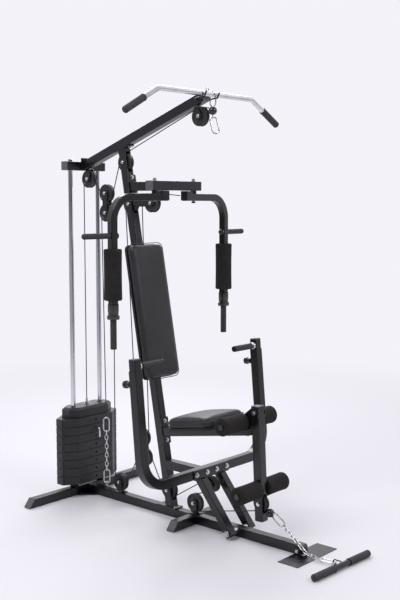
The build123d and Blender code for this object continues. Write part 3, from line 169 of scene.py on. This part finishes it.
MATERIALS = {
    # The powder coat's lighter rim on rounded edges is a painted highlight where the tube edges catch light.
    "frame_black": node_material("powder_coat", (0.006, 0.006, 0.007), (0.004, 0.004, 0.0045), 0.27, 0.05,
                                 mottle=9, grain=1100, bump=0.12, depth=0.0003, edge_wear_and_highlight=(0.045, 0.045, 0.05),
                                 coat=0.1),
    "chrome": node_material("chrome_plate", (0.80, 0.80, 0.82), (0.66, 0.67, 0.70), 0.10, 0.05, metallic=1.0,
                            mottle=25, grain=400, bump=0.05, stretch=(1, 1, 0.08)),
    "zinc": node_material("zinc_plate", (0.74, 0.75, 0.77), (0.52, 0.53, 0.56), 0.24, 0.08, metallic=1.0,
                          mottle=160, grain=1500, bump=0.12),
    "steel_chain": node_material("bright_chain", (0.72, 0.74, 0.76), (0.46, 0.48, 0.50), 0.22, 0.08,
                                 metallic=1.0, mottle=220, grain=1800, bump=0.15),
    "pad_vinyl": node_material("charcoal_vinyl", (0.034, 0.032, 0.036), (0.028, 0.026, 0.029), 0.42, 0.05,
                               mottle=14, grain=750, bump=0.30, depth=0.0004, cells=True, sheen=0.04,
                               specular=0.35),
    "pad_board": node_material("stained_board", (0.010, 0.009, 0.008), (0.006, 0.005, 0.005), 0.62, 0.08,
                               mottle=30, grain=300, bump=0.3, stretch=(1, 0.12, 0.12)),
    "foam": node_material("black_foam", (0.022, 0.019, 0.019), (0.015, 0.013, 0.013), 0.88, 0.06,
                          mottle=40, grain=700, bump=0.55, depth=0.0008, cells=True, specular=0.25),
    "grip_rubber": node_material("grip_rubber", (0.030, 0.028, 0.030), (0.020, 0.019, 0.021), 0.62, 0.08,
                                 mottle=60, grain=1400, bump=0.25),
    "cap_grey": node_material("cap_plastic", (0.105, 0.105, 0.112), (0.080, 0.080, 0.086), 0.46, 0.06,
                              mottle=70, grain=1600, bump=0.2),
    "wheel_black": node_material("wheel_nylon", (0.014, 0.014, 0.016), (0.022, 0.022, 0.024), 0.34, 0.08,
                                 mottle=50, grain=900, bump=0.1),
    # The plate shells get the same lighter, patchy rim on their rounded edges, partly painted highlight and
    # partly edge wear.
    "plate_vinyl": node_material("plate_shell", (0.018, 0.017, 0.020), (0.012, 0.012, 0.014), 0.44, 0.08,
                                 mottle=26, grain=650, bump=0.35, depth=0.0005, cells=True,
                                 edge_wear_and_highlight=(0.05, 0.05, 0.055)),
    "bumper_rubber": node_material("bumper_rubber", (0.016, 0.016, 0.016), (0.010, 0.010, 0.010), 0.75, 0.08,
                                   mottle=50, grain=1000, bump=0.3),
    "cable_black": node_material("cable_sheath", (0.020, 0.020, 0.022), (0.012, 0.012, 0.013), 0.36, 0.08,
                                 mottle=300, grain=2500, bump=0.2),
    "ball_black": node_material("gloss_ball", (0.012, 0.012, 0.014), (0.008, 0.008, 0.009), 0.16, 0.05,
                                mottle=60, grain=1800, bump=0.03, coat=0.4),
}


def dress(obj, slot_name):
    obj.data.materials.clear()
    obj.data.materials.append(MATERIALS[slot_name])


for part in frame["record"]["subparts"]:
    dress(frame["nodes"][part["node"]], part["material_slot"])


def paint(node, slot_name, chosen):
    """Gives the faces whose centre is chosen another finish."""
    mesh = frame["nodes"][node].data
    mesh.materials.append(MATERIALS[slot_name])
    index = len(mesh.materials) - 1
    for face in mesh.polygons:
        if chosen(face.center):
            face.material_index = index


yoke_out = Vector((0, -cos(YOKE_LEAN), sin(YOKE_LEAN)))
yoke_up = Vector((0, sin(YOKE_LEAN), cos(YOKE_LEAN)))
yoke_middle = Vector((0, -0.234, 0.277))
paint("press_levers", "zinc", lambda c: (c - yoke_middle).dot(yoke_out) > 0.02865 and c.z > 0.24)
paint("press_levers", "zinc", lambda c: 0.0171 < abs(c.x) < 0.030 and c.y > -0.29 and c.z < 0.24)
paint("block_upper_plates", "zinc", lambda c: abs(c.x) > 0.0171)
paint("block_lower_plates", "zinc", lambda c: abs(c.x) > 0.0171)
paint("knee_roller_rod", "ball_black", lambda c: abs(c.x) > 0.184)
paint("ankle_rod", "ball_black", lambda c: abs(c.x) > 0.171)
paint("end_caps", "wheel_black", lambda c: c.y < -0.79)
paint("frame_bolts", "frame_black", lambda c: 0.12 < abs(c.x) < 0.16 and c.z < 1.58)
paint("lat_cable_end", "ball_black", lambda c: c.z > 1.9575)
paint("low_chain", "ball_black", lambda c: c.y > -0.6335)


# ---------------------------------------------------------------- mesh helpers
def add_mesh(name, points, faces, slot_name, smooth=True):
    mesh = bpy.data.meshes.new(name)
    mesh.from_pydata([tuple(p) for p in points], [], faces)
    mesh.update()
    obj = bpy.data.objects.new(name, mesh)
    bpy.context.scene.collection.objects.link(obj)
    if smooth:
        mesh.shade_smooth()
    mesh.materials.append(MATERIALS[slot_name])
    return obj


def sweep(points, radii, sides=16, closed=False):
    """Vertices and faces of a round skin around a path."""
    path = [Vector(p) for p in points]
    count = len(path)
    if not hasattr(radii, "__len__"):
        radii = [radii] * count
    tangents = []
    for i in range(count):
        before = path[i - 1] if closed or i else path[0]
        after = path[(i + 1) % count] if closed or i < count - 1 else path[-1]
        tangents.append((after - before).normalized())
    side = tangents[0].orthogonal().normalized()
    verts, faces = [], []
    for i in range(count):
        side = (side - tangents[i] * side.dot(tangents[i])).normalized()
        other = tangents[i].cross(side)
        for j in range(sides):
            a = 2 * pi * j / sides
            verts.append(path[i] + (side * cos(a) + other * sin(a)) * radii[i])
    rings = count if closed else count - 1
    for i in range(rings):
        for j in range(sides):
            k = (i + 1) % count
            beside = (j + 1) % sides
            faces.append((i * sides + j, i * sides + beside, k * sides + beside, k * sides + j))
    if not closed:
        faces.append(tuple(range(sides - 1, -1, -1)))
        faces.append(tuple(range((count - 1) * sides, count * sides)))
    return verts, faces


def lathe(start, end, profile, sides=48, flutes=0, flute_depth=0.0):
    """Vertices and faces turned about the line start-end; profile holds (distance, radius)."""
    a, b = Vector(start), Vector(end)
    way = (b - a).normalized()
    side = way.orthogonal().normalized()
    other = way.cross(side)
    verts, faces = [], []
    for along, radius in profile:
        for j in range(sides):
            t = 2 * pi * j / sides
            r = radius * (1 - flute_depth * (0.5 + 0.5 * cos(flutes * t))) if flutes else radius
            verts.append(a + way * along + (side * cos(t) + other * sin(t)) * r)
    for i in range(len(profile) - 1):
        for j in range(sides):
            k = (j + 1) % sides
            faces.append((i * sides + j, i * sides + k, (i + 1) * sides + k, (i + 1) * sides + j))
    return verts, faces


def close_ends(verts, faces, sides):
    faces.append(tuple(range(sides - 1, -1, -1)))
    faces.append(tuple(range(len(verts) - sides, len(verts))))
    return verts, faces


# ---------------------------------------------------------------- cables
def leave_points(first, second):
    ya, za, ra, sa = first
    yb, zb, rb, sb = second
    gap = hypot(yb - ya, zb - za)
    heading = atan2(zb - za, yb - ya) - asin((sb * rb - sa * ra) / gap)
    left = (-sin(heading), cos(heading))
    return ((ya - sa * ra * left[0], za - sa * ra * left[1]),
            (yb - sb * rb * left[0], zb - sb * rb * left[1]))


def wheel_arc(stop, met, leave):
    start = atan2(met[1] - stop[1], met[0] - stop[0])
    stop_angle = atan2(leave[1] - stop[1], leave[0] - stop[0])
    swing = (stop[3] * (stop_angle - start)) % (2 * pi)
    steps = max(4, int(swing / radians(6)))
    return [(0, stop[0] + stop[2] * cos(start + stop[3] * swing * i / steps),
             stop[1] + stop[2] * sin(start + stop[3] * swing * i / steps)) for i in range(steps + 1)]


def straight(a, b, step=0.02):
    a, b = Vector(a), Vector(b)
    count = max(2, int((b - a).length / step))
    return [a.lerp(b, i / count) for i in range(count + 1)]


def even_blend(obj):
    """Bakes the strand's placement into its mesh; its points are given no share of either body."""
    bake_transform(obj)


def cable_run(name, stops, bodies):
    """Cable around the wheels. Each arc rides on its wheel's body and each strand joins two bodies."""
    legs = [leave_points(a, b) for a, b in zip(stops, stops[1:])]
    for i, (leave, meet) in enumerate(legs):
        a, b = (0, *leave), (0, *meet)
        body_a, body_b = bodies[i], bodies[i + 1]
        obj = add_mesh(f"{name}_strand_{i}", *sweep(straight(a, b), CABLE_R, 12), "cable_black")
        if body_a == body_b:
            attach(obj, body_a)
        else:
            even_blend(obj)
    for i in range(1, len(stops) - 1):
        arc = wheel_arc(stops[i], legs[i - 1][1], legs[i][0])
        obj = add_mesh(f"{name}_arc_{i}", *sweep(arc, CABLE_R, 12), "cable_black")
        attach(obj, bodies[i])


# The strand at the lat ball ends where the ball hangs. The rest of it leaves the ball as the ball is pulled.
# A short piece of it runs on into the ball.
ball_top = (LAT_BALL[0], LAT_BALL[1] + 0.010, 0.0, 1)
cable_run("top_cable", [ball_top, FRONT_TOP, JUNCTION, BLOCK_UP_TOP, REAR_TOP, (STACK_Y, 0.5155, 0.0, 1)],
          ["frame", "frame", "frame", "block_upper", "frame", "carriage"])
pull_a, pull_b = (0, LAT_BALL[0], LAT_BALL[1] + 0.010), (0, LAT_BALL[0], LAT_BALL[1] - 0.006)
pull = add_mesh("top_cable_pull", *sweep(straight(pull_a, pull_b, 0.001), CABLE_R, 12), "cable_black")
even_blend(pull)

over = BLOCK_UP_Y + RUN
cable_run("lower_cable", [(over, 1.503, 0.0, 1), BLOCK_UP_LOW, REAR_LOW, BLOCK_DOWN_LOW, BASE_WHEEL,
                          PRESS_WHEEL, FRONT_LOW, LEG_WHEEL, (LOW_BALL[0] + 0.010, LOW_BALL[1], 0.0, 1)],
          ["block_upper", "block_upper", "frame", "block_lower", "frame",
           "press_arm", "frame", "leg_lever", "leg_lever"])
drop_a, drop_b = (0, over, 1.504), (ANCHOR_X, over, 0.4235)
drop = add_mesh("lower_cable_drop", *sweep(straight(drop_a, drop_b), CABLE_R, 12), "cable_black")
even_blend(drop)

cable_run("pec_cable", [(0.040, PEC_FRONT[1] + RUN, 0.0, 1), PEC_FRONT, PEC_REAR, BLOCK_DOWN_TOP,
                        (BLOCK_DOWN_TOP[0] - RUN, BLOCK_DOWN_TOP[1] + 0.001, 0.0, 1)],
          ["frame", "frame", "frame", "block_lower", "block_lower"])
rise_a, rise_b = (0, BLOCK_DOWN_TOP[0] - RUN, BLOCK_DOWN_TOP[1]), (0.044, 0.2414, 1.545)
rise = add_mesh("pec_cable_rise", *sweep(straight(rise_a, rise_b), CABLE_R, 12), "cable_black")
even_blend(rise)
ferrule = [(0.0, 0.0045), (0.0015, 0.0068), (0.008, 0.0070), (0.0095, 0.0055)]
sleeve = close_ends(*lathe((0.044, 0.2414, 1.5445), (0.044, 0.2414, 1.56), ferrule, 24), 24)
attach(add_mesh("pec_cable_ferrule", *sleeve, "zinc"), "frame")
ring_y = 0.034
ring_points = [(0, ring_y + 0.009 * cos(t), PEC_FRONT[1] + RUN + 0.009 * sin(t))
               for t in np.linspace(0, 2 * pi, 25)[:-1]]
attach(add_mesh("pec_cable_ring", *sweep(ring_points, 0.0018, 12, closed=True), "steel_chain"), "frame")
for word, side in (("right", -1), ("left", 1)):
    a = (side * 0.004, ring_y - 0.004, PEC_FRONT[1] + RUN)
    b = (side * 0.0655, 0.002, 1.590)
    strand = add_mesh(f"pec_bridle_{word}", *sweep(straight(a, b), CABLE_R * 0.9, 12), "cable_black")
    even_blend(strand)

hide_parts("top_cable")
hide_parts("lower_cables")


# ---------------------------------------------------------------- upholstered pads
def rounded_outline(width, length, corner, per_corner=10):
    """Points around a rounded rectangle, evenly enough for a soft skin."""
    points = []
    half_w, half_l = width / 2 - corner, length / 2 - corner
    corners = ((half_w, half_l, 0), (-half_w, half_l, 90), (-half_w, -half_l, 180), (half_w, -half_l, 270))
    for cx, cy, start in corners:
        for i in range(per_corner + 1):
            t = radians(start + 90 * i / per_corner)
            points.append((cx + corner * cos(t), cy + corner * sin(t)))
    return points


def cushion(name, origin, across, along, out, width, length, depth, corner, crown, node, pinch=0.004):
    """Padded vinyl cushion, swollen by cloth pressure, flat on its board, with a piped seam around it."""
    origin, across, along, out = map(Vector, (origin, across, along, out))
    outline = rounded_outline(width - 0.010, length - 0.010, corner)
    count = len(outline)
    edge = 0.010
    layers = [(0.0, 0.0), (depth - edge, 0.0)]
    layers += [(depth - edge + edge * sin(t), edge * (1 - cos(t))) for t in (0.4, 0.8, 1.2, pi / 2)]
    verts, faces = [], []
    for height, inset in layers:
        sx = (width - 0.010 - 2 * inset) / (width - 0.010)
        sy = (length - 0.010 - 2 * inset) / (length - 0.010)
        verts += [(x * sx, y * sy, height) for x, y in outline]
    for i in range(len(layers) - 1):
        for j in range(count):
            k = (j + 1) % count
            faces.append((i * count + j, i * count + k, (i + 1) * count + k, (i + 1) * count + j))
    faces.append(tuple(range(count - 1, -1, -1)))
    faces.append(tuple(range((len(layers) - 1) * count, len(layers) * count)))
    obj = add_mesh(name, verts, faces, "pad_vinyl")
    remesh = obj.modifiers.new("skin", "REMESH")
    remesh.mode = "VOXEL"
    remesh.voxel_size = 0.0055
    dg = bpy.context.evaluated_depsgraph_get()
    skin = bpy.data.meshes.new_from_object(obj.evaluated_get(dg))
    obj.modifiers.clear()
    obj.data = skin
    rest = np.array([v.co for v in skin.vertices], float)
    cloth = obj.modifiers.new("cloth", "CLOTH")
    cloth.settings.use_pressure = True
    cloth.settings.uniform_pressure_force = 4.0
    cloth.settings.mass = 0.3
    cloth.settings.effector_weights.gravity = 0.0
    cloth.settings.tension_stiffness = 25.0
    cloth.settings.compression_stiffness = 25.0
    cloth.settings.quality = 5
    cloth.point_cache.frame_start, cloth.point_cache.frame_end = 1, CLOTH_STEPS
    for step in range(1, CLOTH_STEPS + 1):
        bpy.context.scene.frame_set(step)
    dg = bpy.context.evaluated_depsgraph_get()
    swollen = bpy.data.meshes.new_from_object(obj.evaluated_get(dg))
    obj.modifiers.clear()
    bpy.context.scene.frame_set(1)
    moved = np.array([v.co for v in swollen.vertices], float)
    shift = moved - rest
    size = np.linalg.norm(shift, axis=1, keepdims=True)
    shift *= np.minimum(1.0, CLOTH_REACH / np.maximum(size, 1e-9))
    obj.data = swollen
    points = rest + shift
    u = np.clip(np.abs(points[:, 0]) / (width / 2), 0, 1)
    v = np.clip(np.abs(points[:, 1]) / (length / 2), 0, 1)
    swell = (1 - u ** 2.6) * (1 - v ** 5) if length > 1.6 * width else (1 - u ** 2.4) * (1 - v ** 2.4)
    face = np.clip(points[:, 2] / depth, 0, 1) ** 2
    points[:, 2] += crown * swell * face
    # the sides pull in between the corners
    points[:, 0] -= np.sign(points[:, 0]) * pinch * u ** 6 * (1 - v ** 4)
    points[:, 1] -= np.sign(points[:, 1]) * pinch * v ** 6 * (1 - u ** 4)
    points[:, 2] = np.maximum(points[:, 2], 0.0)
    # a sewn seam runs around the side, a little behind the face
    seam = depth * 0.66
    near = np.exp(-((points[:, 2] - seam) / 0.0035) ** 2)
    rim = np.maximum(u ** 8, v ** 8)
    radial = points[:, :2] / np.maximum(np.linalg.norm(points[:, :2], axis=1, keepdims=True), 1e-9)
    points[:, :2] -= radial * (0.0022 * near * rim)[:, None]
    world = [origin + across * p[0] + along * p[1] + out * p[2] for p in points]
    for vert, place in zip(obj.data.vertices, world):
        vert.co = place
    obj.data.update()
    obj.data.shade_smooth()
    obj.data.materials.clear()
    obj.data.materials.append(MATERIALS["pad_vinyl"])
    smooth = obj.modifiers.new("smooth", "SMOOTH")
    smooth.factor, smooth.iterations = 0.5, 4
    obj.modifiers.new("subdivide", "SUBSURF").levels = 1
    obj.modifiers["subdivide"].render_levels = 1
    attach(obj, "frame")
    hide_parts(node)
    welt = []
    for x, y in rounded_outline(width - 0.004, length - 0.004, corner, 12):
        uu, vv = abs(x) / (width / 2), abs(y) / (length / 2)
        x -= math.copysign(pinch * uu ** 6 * (1 - vv ** 4), x)
        y -= math.copysign(pinch * vv ** 6 * (1 - uu ** 4), y)
        welt.append(origin + across * x + along * y + out * seam)
    fine = []
    for i, p in enumerate(welt):
        q = welt[(i + 1) % len(welt)]
        steps = max(1, int((q - p).length / 0.012))
        fine += [p.lerp(q, s / steps) for s in range(steps)]
    piping = add_mesh(name + "_piping", *sweep(fine, 0.0021, 10, closed=True), "pad_vinyl")
    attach(piping, "frame")
    return obj


seat_rear, seat_length = -0.092, 0.282
seat_mid = seat_rear - seat_length / 2 * cos(SEAT_RISE)
seat_z = 0.4308 + (-0.011 - seat_mid) * tan(SEAT_RISE)
seat_out = Vector((0, sin(SEAT_RISE), cos(SEAT_RISE)))
seat_base = Vector((0, seat_mid, seat_z)) + seat_out * (0.0225 + PAD_BOARD_THICK)
cushion("seat_cushion", seat_base, (1, 0, 0), (0, cos(SEAT_RISE), -sin(SEAT_RISE)), seat_out,
        0.300, seat_length, 0.040, 0.038, 0.013, "seat_pad")
back_out = Vector((0, -cos(LEAN), sin(LEAN)))
back_up = Vector((0, sin(LEAN), cos(LEAN)))
back_base = Vector((0, 0, 0.045)) + back_up * 0.9825 + back_out * (0.0227 + PAD_BOARD_THICK)
cushion("back_cushion", back_base, (1, 0, 0), tuple(back_up), back_out,
        0.240, 0.685, 0.038, 0.036, 0.004, "back_pad", pinch=0.003)


# ---------------------------------------------------------------- foam rollers and pads
def foam_tube(name, start, end, radius, bore, body, node):
    """Soft closed-cell tube with rounded lips, a bore, and the slight waist of foam that sits on a rod."""
    length = (Vector(end) - Vector(start)).length
    lip = 0.006
    profile = [(0.004, bore), (0.001, bore + 0.003)]
    profile += [(0.0, radius * 0.55), (0.0, radius - lip)]
    profile += [(lip * (1 - cos(t)), radius - lip + lip * sin(t)) for t in (0.4, 0.8, 1.2, pi / 2)]
    for i in range(1, 24):
        s = i / 24
        profile.append((lip + (length - 2 * lip) * s, radius - FOAM_WAIST * sin(pi * s)))
    profile += [(length - lip * (1 - cos(t)), radius - lip + lip * sin(t)) for t in (pi / 2, 1.2, 0.8, 0.4)]
    profile += [(length, radius - lip), (length, radius * 0.55)]
    profile += [(length - 0.001, bore + 0.003), (length - 0.004, bore)]
    verts, faces = lathe(start, end, profile, 56)
    last = len(profile) - 1
    faces += [(j + last * 56, (j + 1) % 56 + last * 56, (j + 1) % 56, j) for j in range(56)]
    obj = add_mesh(name, verts, faces, "foam")
    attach(obj, body)
    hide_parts(node)
    return obj


for word, side in (("right", -1), ("left", 1)):
    for joint, (y, z), (inner, outer) in (("knee", (-0.473, 0.555), (0.031, 0.183)),
                                          ("ankle", (-0.5575, 0.2507), (0.024, 0.170))):
        foam_tube(f"{joint}_foam_{word}", (side * inner, y, z), (side * outer, y, z), 0.0415, 0.0126,
                  f"{joint}_{word}", f"{joint}_roller_{word}")


# ---------------------------------------------------------------- grips
def ridged(length, radius, pitch=0.0045, depth=0.0009, lead=0.004):
    """Profile with rings like a moulded handgrip."""
    profile = [(0.0, radius * 0.55), (0.0, radius - 0.002), (0.002, radius)]
    steps = int((length - 2 * lead) / pitch * 6)
    for i in range(steps + 1):
        s = lead + (length - 2 * lead) * i / steps
        profile.append((s, radius - depth * (0.5 + 0.5 * cos(2 * pi * (s - lead) / pitch)) ** 3))
    profile += [(length - 0.002, radius), (length, radius - 0.002), (length, radius * 0.55)]
    return profile


def fluted_grip(name, start, end, radius, body):
    """Sleeve with lengthwise ribs, a collar at its root and a domed end."""
    length = (Vector(end) - Vector(start)).length
    profile = [(0.0, radius * 0.8), (0.0, radius * 1.04), (0.004, radius * 1.06), (0.006, radius)]
    profile += [(0.006 + (length - 0.020) * i / 10, radius) for i in range(1, 11)]
    profile += [(length - 0.014 + 0.012 * sin(t), radius * 1.05 * cos(t) ** 0.6)
                for t in (0.1, 0.5, 0.9, 1.2, 1.45)]
    verts, faces = close_ends(*lathe(start, end, profile, 96, flutes=24, flute_depth=0.05), 96)
    obj = add_mesh(name, verts, faces, "grip_rubber")
    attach(obj, body)
    return obj


def ring_grip(name, start, end, radius, body):
    length = (Vector(end) - Vector(start)).length
    verts, faces = close_ends(*lathe(start, end, ridged(length, radius), 40), 40)
    obj = add_mesh(name, verts, faces, "grip_rubber")
    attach(obj, body)
    return obj


ARM_SWEEP = radians(4.5)
for word, side in (("right", -1), ("left", 1)):
    outward = Vector((side * cos(ARM_SWEEP), sin(ARM_SWEEP), 0))
    pivot = Vector((side * 0.1365, -0.0224, 0))
    hang = pivot + outward * 0.2565
    body = f"pec_{word}"
    up = Vector((0, 0, 1))
    foam_tube(f"pec_foam_{word}", hang + up * 1.111, hang + up * 1.346, 0.042, 0.0178, body,
              f"pec_pad_{word}")
    # moulded collar below the tube, then the ribbed hand grip
    tangent = outward.cross(up)
    outline = rounded_outline(0.048, 0.048, 0.012, 5)
    verts, faces = [], []
    levels = [(1.0948, 0.80), (1.0930, 0.88), (1.060, 0.88), (1.057, 0.84), (1.043, 0.84), (1.041, 1.0),
              (1.026, 1.0), (1.023, 0.94), (1.022, 0.70)]
    for z, scale in levels:
        verts += [hang + outward * (x * scale) + tangent * (y * scale) + up * z for x, y in outline]
    n = len(outline)
    for i in range(len(levels) - 1):
        low, high = i * n, (i + 1) * n
        faces += [(low + j, high + j, high + (j + 1) % n, low + (j + 1) % n) for j in range(n)]
    faces.append(tuple(range(n)))
    faces.append(tuple(range(len(verts) - 1, len(verts) - n - 1, -1)))
    collar = add_mesh(f"pec_collar_{word}", verts, faces, "ball_black")
    collar.data.set_sharp_from_angle(angle=radians(40))
    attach(collar, body)
    grip = ring_grip(f"pec_grip_{word}", hang + up * 1.024, hang + up * 0.885, 0.0152, body)
    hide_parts(f"pec_grips_{word}")
    level = up * 1.406
    fluted_grip(f"pec_handle_{word}", hang + outward * 0.0180 + level, hang + outward * 0.173 + level,
                0.0132, body)
    ball = [(0.0, 0.010), (0.0, 0.0150), (0.002, 0.0168)]
    ball += [(0.002 + 0.0135 * sin(t), 0.0168 * cos(t)) for t in (0.2, 0.45, 0.7, 0.95, 1.2, 1.45)]
    turned = lathe(hang - outward * 0.0177 + level, hang - outward * 0.04 + level, ball, 40)
    cap = add_mesh(f"pec_handle_cap_{word}", *close_ends(*turned, 40), "ball_black")
    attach(cap, body)

for word, side in (("right", -1), ("left", 1)):
    tip = Vector((-0.010 + side * 0.524, -0.240, 1.947))
    inward = (Vector((-0.010 + side * 0.326, -0.240, 2.055)) - tip).normalized()
    grip = fluted_grip(f"lat_grip_{word}", tip + inward * 0.125, tip - inward * 0.014, 0.0160, "lat_bar")
    if side < 0:
        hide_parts("lat_grips")

turn = radians(-3)
bar_way = Vector((cos(turn), sin(turn), 0))
bar_middle = Vector((-0.030, -1.020, 0.016))
for word, side in (("right", -1), ("left", 1)):
    grip = fluted_grip(f"low_grip_{word}", bar_middle + bar_way * (side * 0.050),
                       bar_middle + bar_way * (side * 0.204), 0.0155, "low_row")
    if side < 0:
        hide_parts("low_grips")

for word, side in (("right", -1), ("left", 1)):
    foot = yoke_middle + Vector((side * POST_X, 0, 0))
    handle = foot + yoke_up * 0.554
    inward = Vector((-side, 0, 0))
    fluted_grip(f"press_handle_{word}", handle + inward * 0.042, handle + inward * 0.177, 0.0150,
                f"post_{word}")
    dome = [(0.0, 0.018), (0.003, 0.019)]
    dome += [(0.003 + 0.012 * sin(t), 0.019 * cos(t)) for t in (0.3, 0.6, 0.9, 1.2)]
    turned = lathe(handle + inward * 0.0202, handle + inward * 0.05, dome, 40)
    base = add_mesh(f"press_handle_base_{word}", *close_ends(*turned, 40), "zinc")
    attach(base, f"post_{word}")


def tube_cap(name, centre, across, along, out, size, thick, body, slot_name="cap_grey"):
    """Moulded plastic plug on the end of a square tube, with a raised rim and soft corners."""
    centre, across, along, out = map(Vector, (centre, across, along, out))
    outline = rounded_outline(size, size, 0.005, 5)
    levels = [(0.0001, 1.0), (thick * 0.7, 1.0), (thick, 0.95), (thick, 0.80),
              (thick * 0.8, 0.77), (thick * 0.8, 0.2)]
    verts, faces = [], []
    for height, scale in levels:
        verts += [centre + across * (x * scale) + along * (y * scale) + out * height for x, y in outline]
    n = len(outline)
    for i in range(len(levels) - 1):
        low, high = i * n, (i + 1) * n
        faces += [(low + j, low + (j + 1) % n, high + (j + 1) % n, high + j) for j in range(n)]
    faces.append(tuple(range(n - 1, -1, -1)))
    faces.append(tuple(range(len(verts) - n, len(verts))))
    obj = add_mesh(name, verts, faces, slot_name)
    obj.data.set_sharp_from_angle(angle=radians(40))
    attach(obj, body)
    return obj


for word, side in (("right", -1), ("left", 1)):
    foot = yoke_middle + Vector((side * POST_X, 0, 0))
    tube_cap(f"post_cap_{word}", foot + yoke_up * 0.586, (1, 0, 0), -yoke_out, yoke_up,
             0.040, 0.004, f"post_{word}")
leg_up = Vector((0, sin(radians(2.95)), cos(radians(2.95))))
leg_low = Vector((0, -0.538, 0.603)) - leg_up * 0.499
leg_out = Vector((0, cos(radians(2.95)), -sin(radians(2.95))))
tube_cap("leg_lever_cap_top", leg_low + leg_up * 0.527, (1, 0, 0), leg_out, leg_up,
         0.0446, 0.004, "leg_lever")
tube_cap("leg_lever_cap_foot", leg_low, (-1, 0, 0), leg_out, -leg_up,
         0.0446, 0.004, "leg_lever", "wheel_black")


# ---------------------------------------------------------------- floor, light and camera
BACKDROP = (0.90, 0.89, 0.95, 1)


def stage_plane(name, corners, colour, rough):
    mesh = bpy.data.meshes.new(name)
    mesh.from_pydata(corners, [], [(0, 1, 2, 3)])
    obj = bpy.data.objects.new(name, mesh)
    bpy.context.scene.collection.objects.link(obj)
    mat = bpy.data.materials.new(name)
    mat.use_nodes = True
    tree = mat.node_tree
    noise = tree.nodes.new("ShaderNodeTexNoise")
    noise.inputs["Scale"].default_value = 160
    noise.inputs["Detail"].default_value = 4
    place = tree.nodes.new("ShaderNodeTexCoord")
    tree.links.new(place.outputs["Object"], noise.inputs["Vector"])
    ramp = tree.nodes.new("ShaderNodeValToRGB")
    ramp.color_ramp.elements[0].color = tuple(c * 0.86 for c in colour) + (1,)
    ramp.color_ramp.elements[1].color = colour + (1,)
    tree.links.new(noise.outputs["Fac"], ramp.inputs["Fac"])
    shader = tree.nodes["Principled BSDF"]
    tree.links.new(ramp.outputs["Color"], shader.inputs["Base Color"])
    shader.inputs["Roughness"].default_value = rough
    # Far from the gym the camera sees the floor fade into the backdrop.
    distance = tree.nodes.new("ShaderNodeVectorMath")
    distance.operation = "LENGTH"
    tree.links.new(place.outputs["Object"], distance.inputs[0])
    fade = tree.nodes.new("ShaderNodeMapRange")
    fade.interpolation_type = "SMOOTHSTEP"
    fade.inputs["From Min"].default_value = 1.6
    fade.inputs["From Max"].default_value = 5.0
    tree.links.new(distance.outputs["Value"], fade.inputs["Value"])
    seen = tree.nodes.new("ShaderNodeLightPath")
    amount = tree.nodes.new("ShaderNodeMath")
    amount.operation = "MULTIPLY"
    tree.links.new(fade.outputs["Result"], amount.inputs[0])
    tree.links.new(seen.outputs["Is Camera Ray"], amount.inputs[1])
    glow = tree.nodes.new("ShaderNodeEmission")
    glow.inputs["Color"].default_value = BACKDROP
    blend = tree.nodes.new("ShaderNodeMixShader")
    tree.links.new(amount.outputs["Value"], blend.inputs["Fac"])
    tree.links.new(shader.outputs["BSDF"], blend.inputs[1])
    tree.links.new(glow.outputs["Emission"], blend.inputs[2])
    tree.links.new(blend.outputs["Shader"], tree.nodes["Material Output"].inputs["Surface"])
    mesh.materials.append(mat)


stage_plane("floor", [(-30, -30, 0), (30, -30, 0), (30, 30, 0), (-30, 30, 0)], (0.72, 0.71, 0.75), 0.9)

# Bright walls behind the gym and a dimmer room on the near side, with a plain bright backdrop for the camera.
world = bpy.data.worlds.new("studio")
bpy.context.scene.world = world
world.use_nodes = True
nodes, join = world.node_tree.nodes, world.node_tree.links.new
background = nodes["Background"]
background.inputs["Strength"].default_value = 1.0
way = nodes.new("ShaderNodeTexCoord")
facing = nodes.new("ShaderNodeVectorMath")
facing.operation = "DOT_PRODUCT"
facing.inputs[1].default_value = (0.73, 0.64, 0.12)
join(way.outputs["Generated"], facing.inputs[0])
walls = nodes.new("ShaderNodeValToRGB")
walls.color_ramp.elements[0].position = 0.38
walls.color_ramp.elements[0].color = (0.16, 0.16, 0.17, 1)
walls.color_ramp.elements[1].position = 0.62
walls.color_ramp.elements[1].color = (0.95, 0.94, 1.0, 1)
spread = nodes.new("ShaderNodeMapRange")
spread.inputs["From Min"].default_value = -1
join(facing.outputs["Value"], spread.inputs["Value"])
join(spread.outputs["Result"], walls.inputs["Fac"])
seen = nodes.new("ShaderNodeLightPath")
pick = nodes.new("ShaderNodeMix")
pick.data_type = "RGBA"
pick.inputs["B"].default_value = BACKDROP
join(seen.outputs["Is Camera Ray"], pick.inputs["Factor"])
join(walls.outputs["Color"], pick.inputs["A"])
join(pick.outputs["Result"], background.inputs["Color"])
bpy.context.scene.view_settings.view_transform = "Standard"


def area_light(name, place, target, size, power):
    light = bpy.data.lights.new(name, "AREA")
    light.shape = "RECTANGLE"
    light.size, light.size_y = size
    light.energy = power
    obj = bpy.data.objects.new(name, light)
    obj.location = place
    obj.rotation_euler = (Vector(target) - Vector(place)).to_track_quat("-Z", "Y").to_euler()
    bpy.context.scene.collection.objects.link(obj)


area_light("key", (-2.6, 0.2, 4.2), (0, 0, 0.9), (2.6, 2.0), 110)
area_light("fill", (0.6, -4.4, 3.4), (0, -0.1, 0.8), (2.2, 1.4), 70)
area_light("rim", (2.5, 2.6, 3.6), (0, 0.3, 1.0), (2.4, 2.4), 110)

camera = bpy.data.cameras.new("camera")
camera.sensor_width = 36
camera.lens = 36 * 946.51 / 600
camera_object = bpy.data.objects.new("camera", camera)
yaw, pitch = radians(-48.57), radians(-5.88)
forward = Vector((-sin(yaw) * cos(pitch), cos(yaw) * cos(pitch), sin(pitch)))
camera_object.location = (-3.35827, -3.14963, 1.55663)
camera_object.rotation_euler = forward.to_track_quat("-Z", "Y").to_euler()
camera.clip_end = 100
bpy.context.scene.collection.objects.link(camera_object)
bpy.context.scene.camera = camera_object
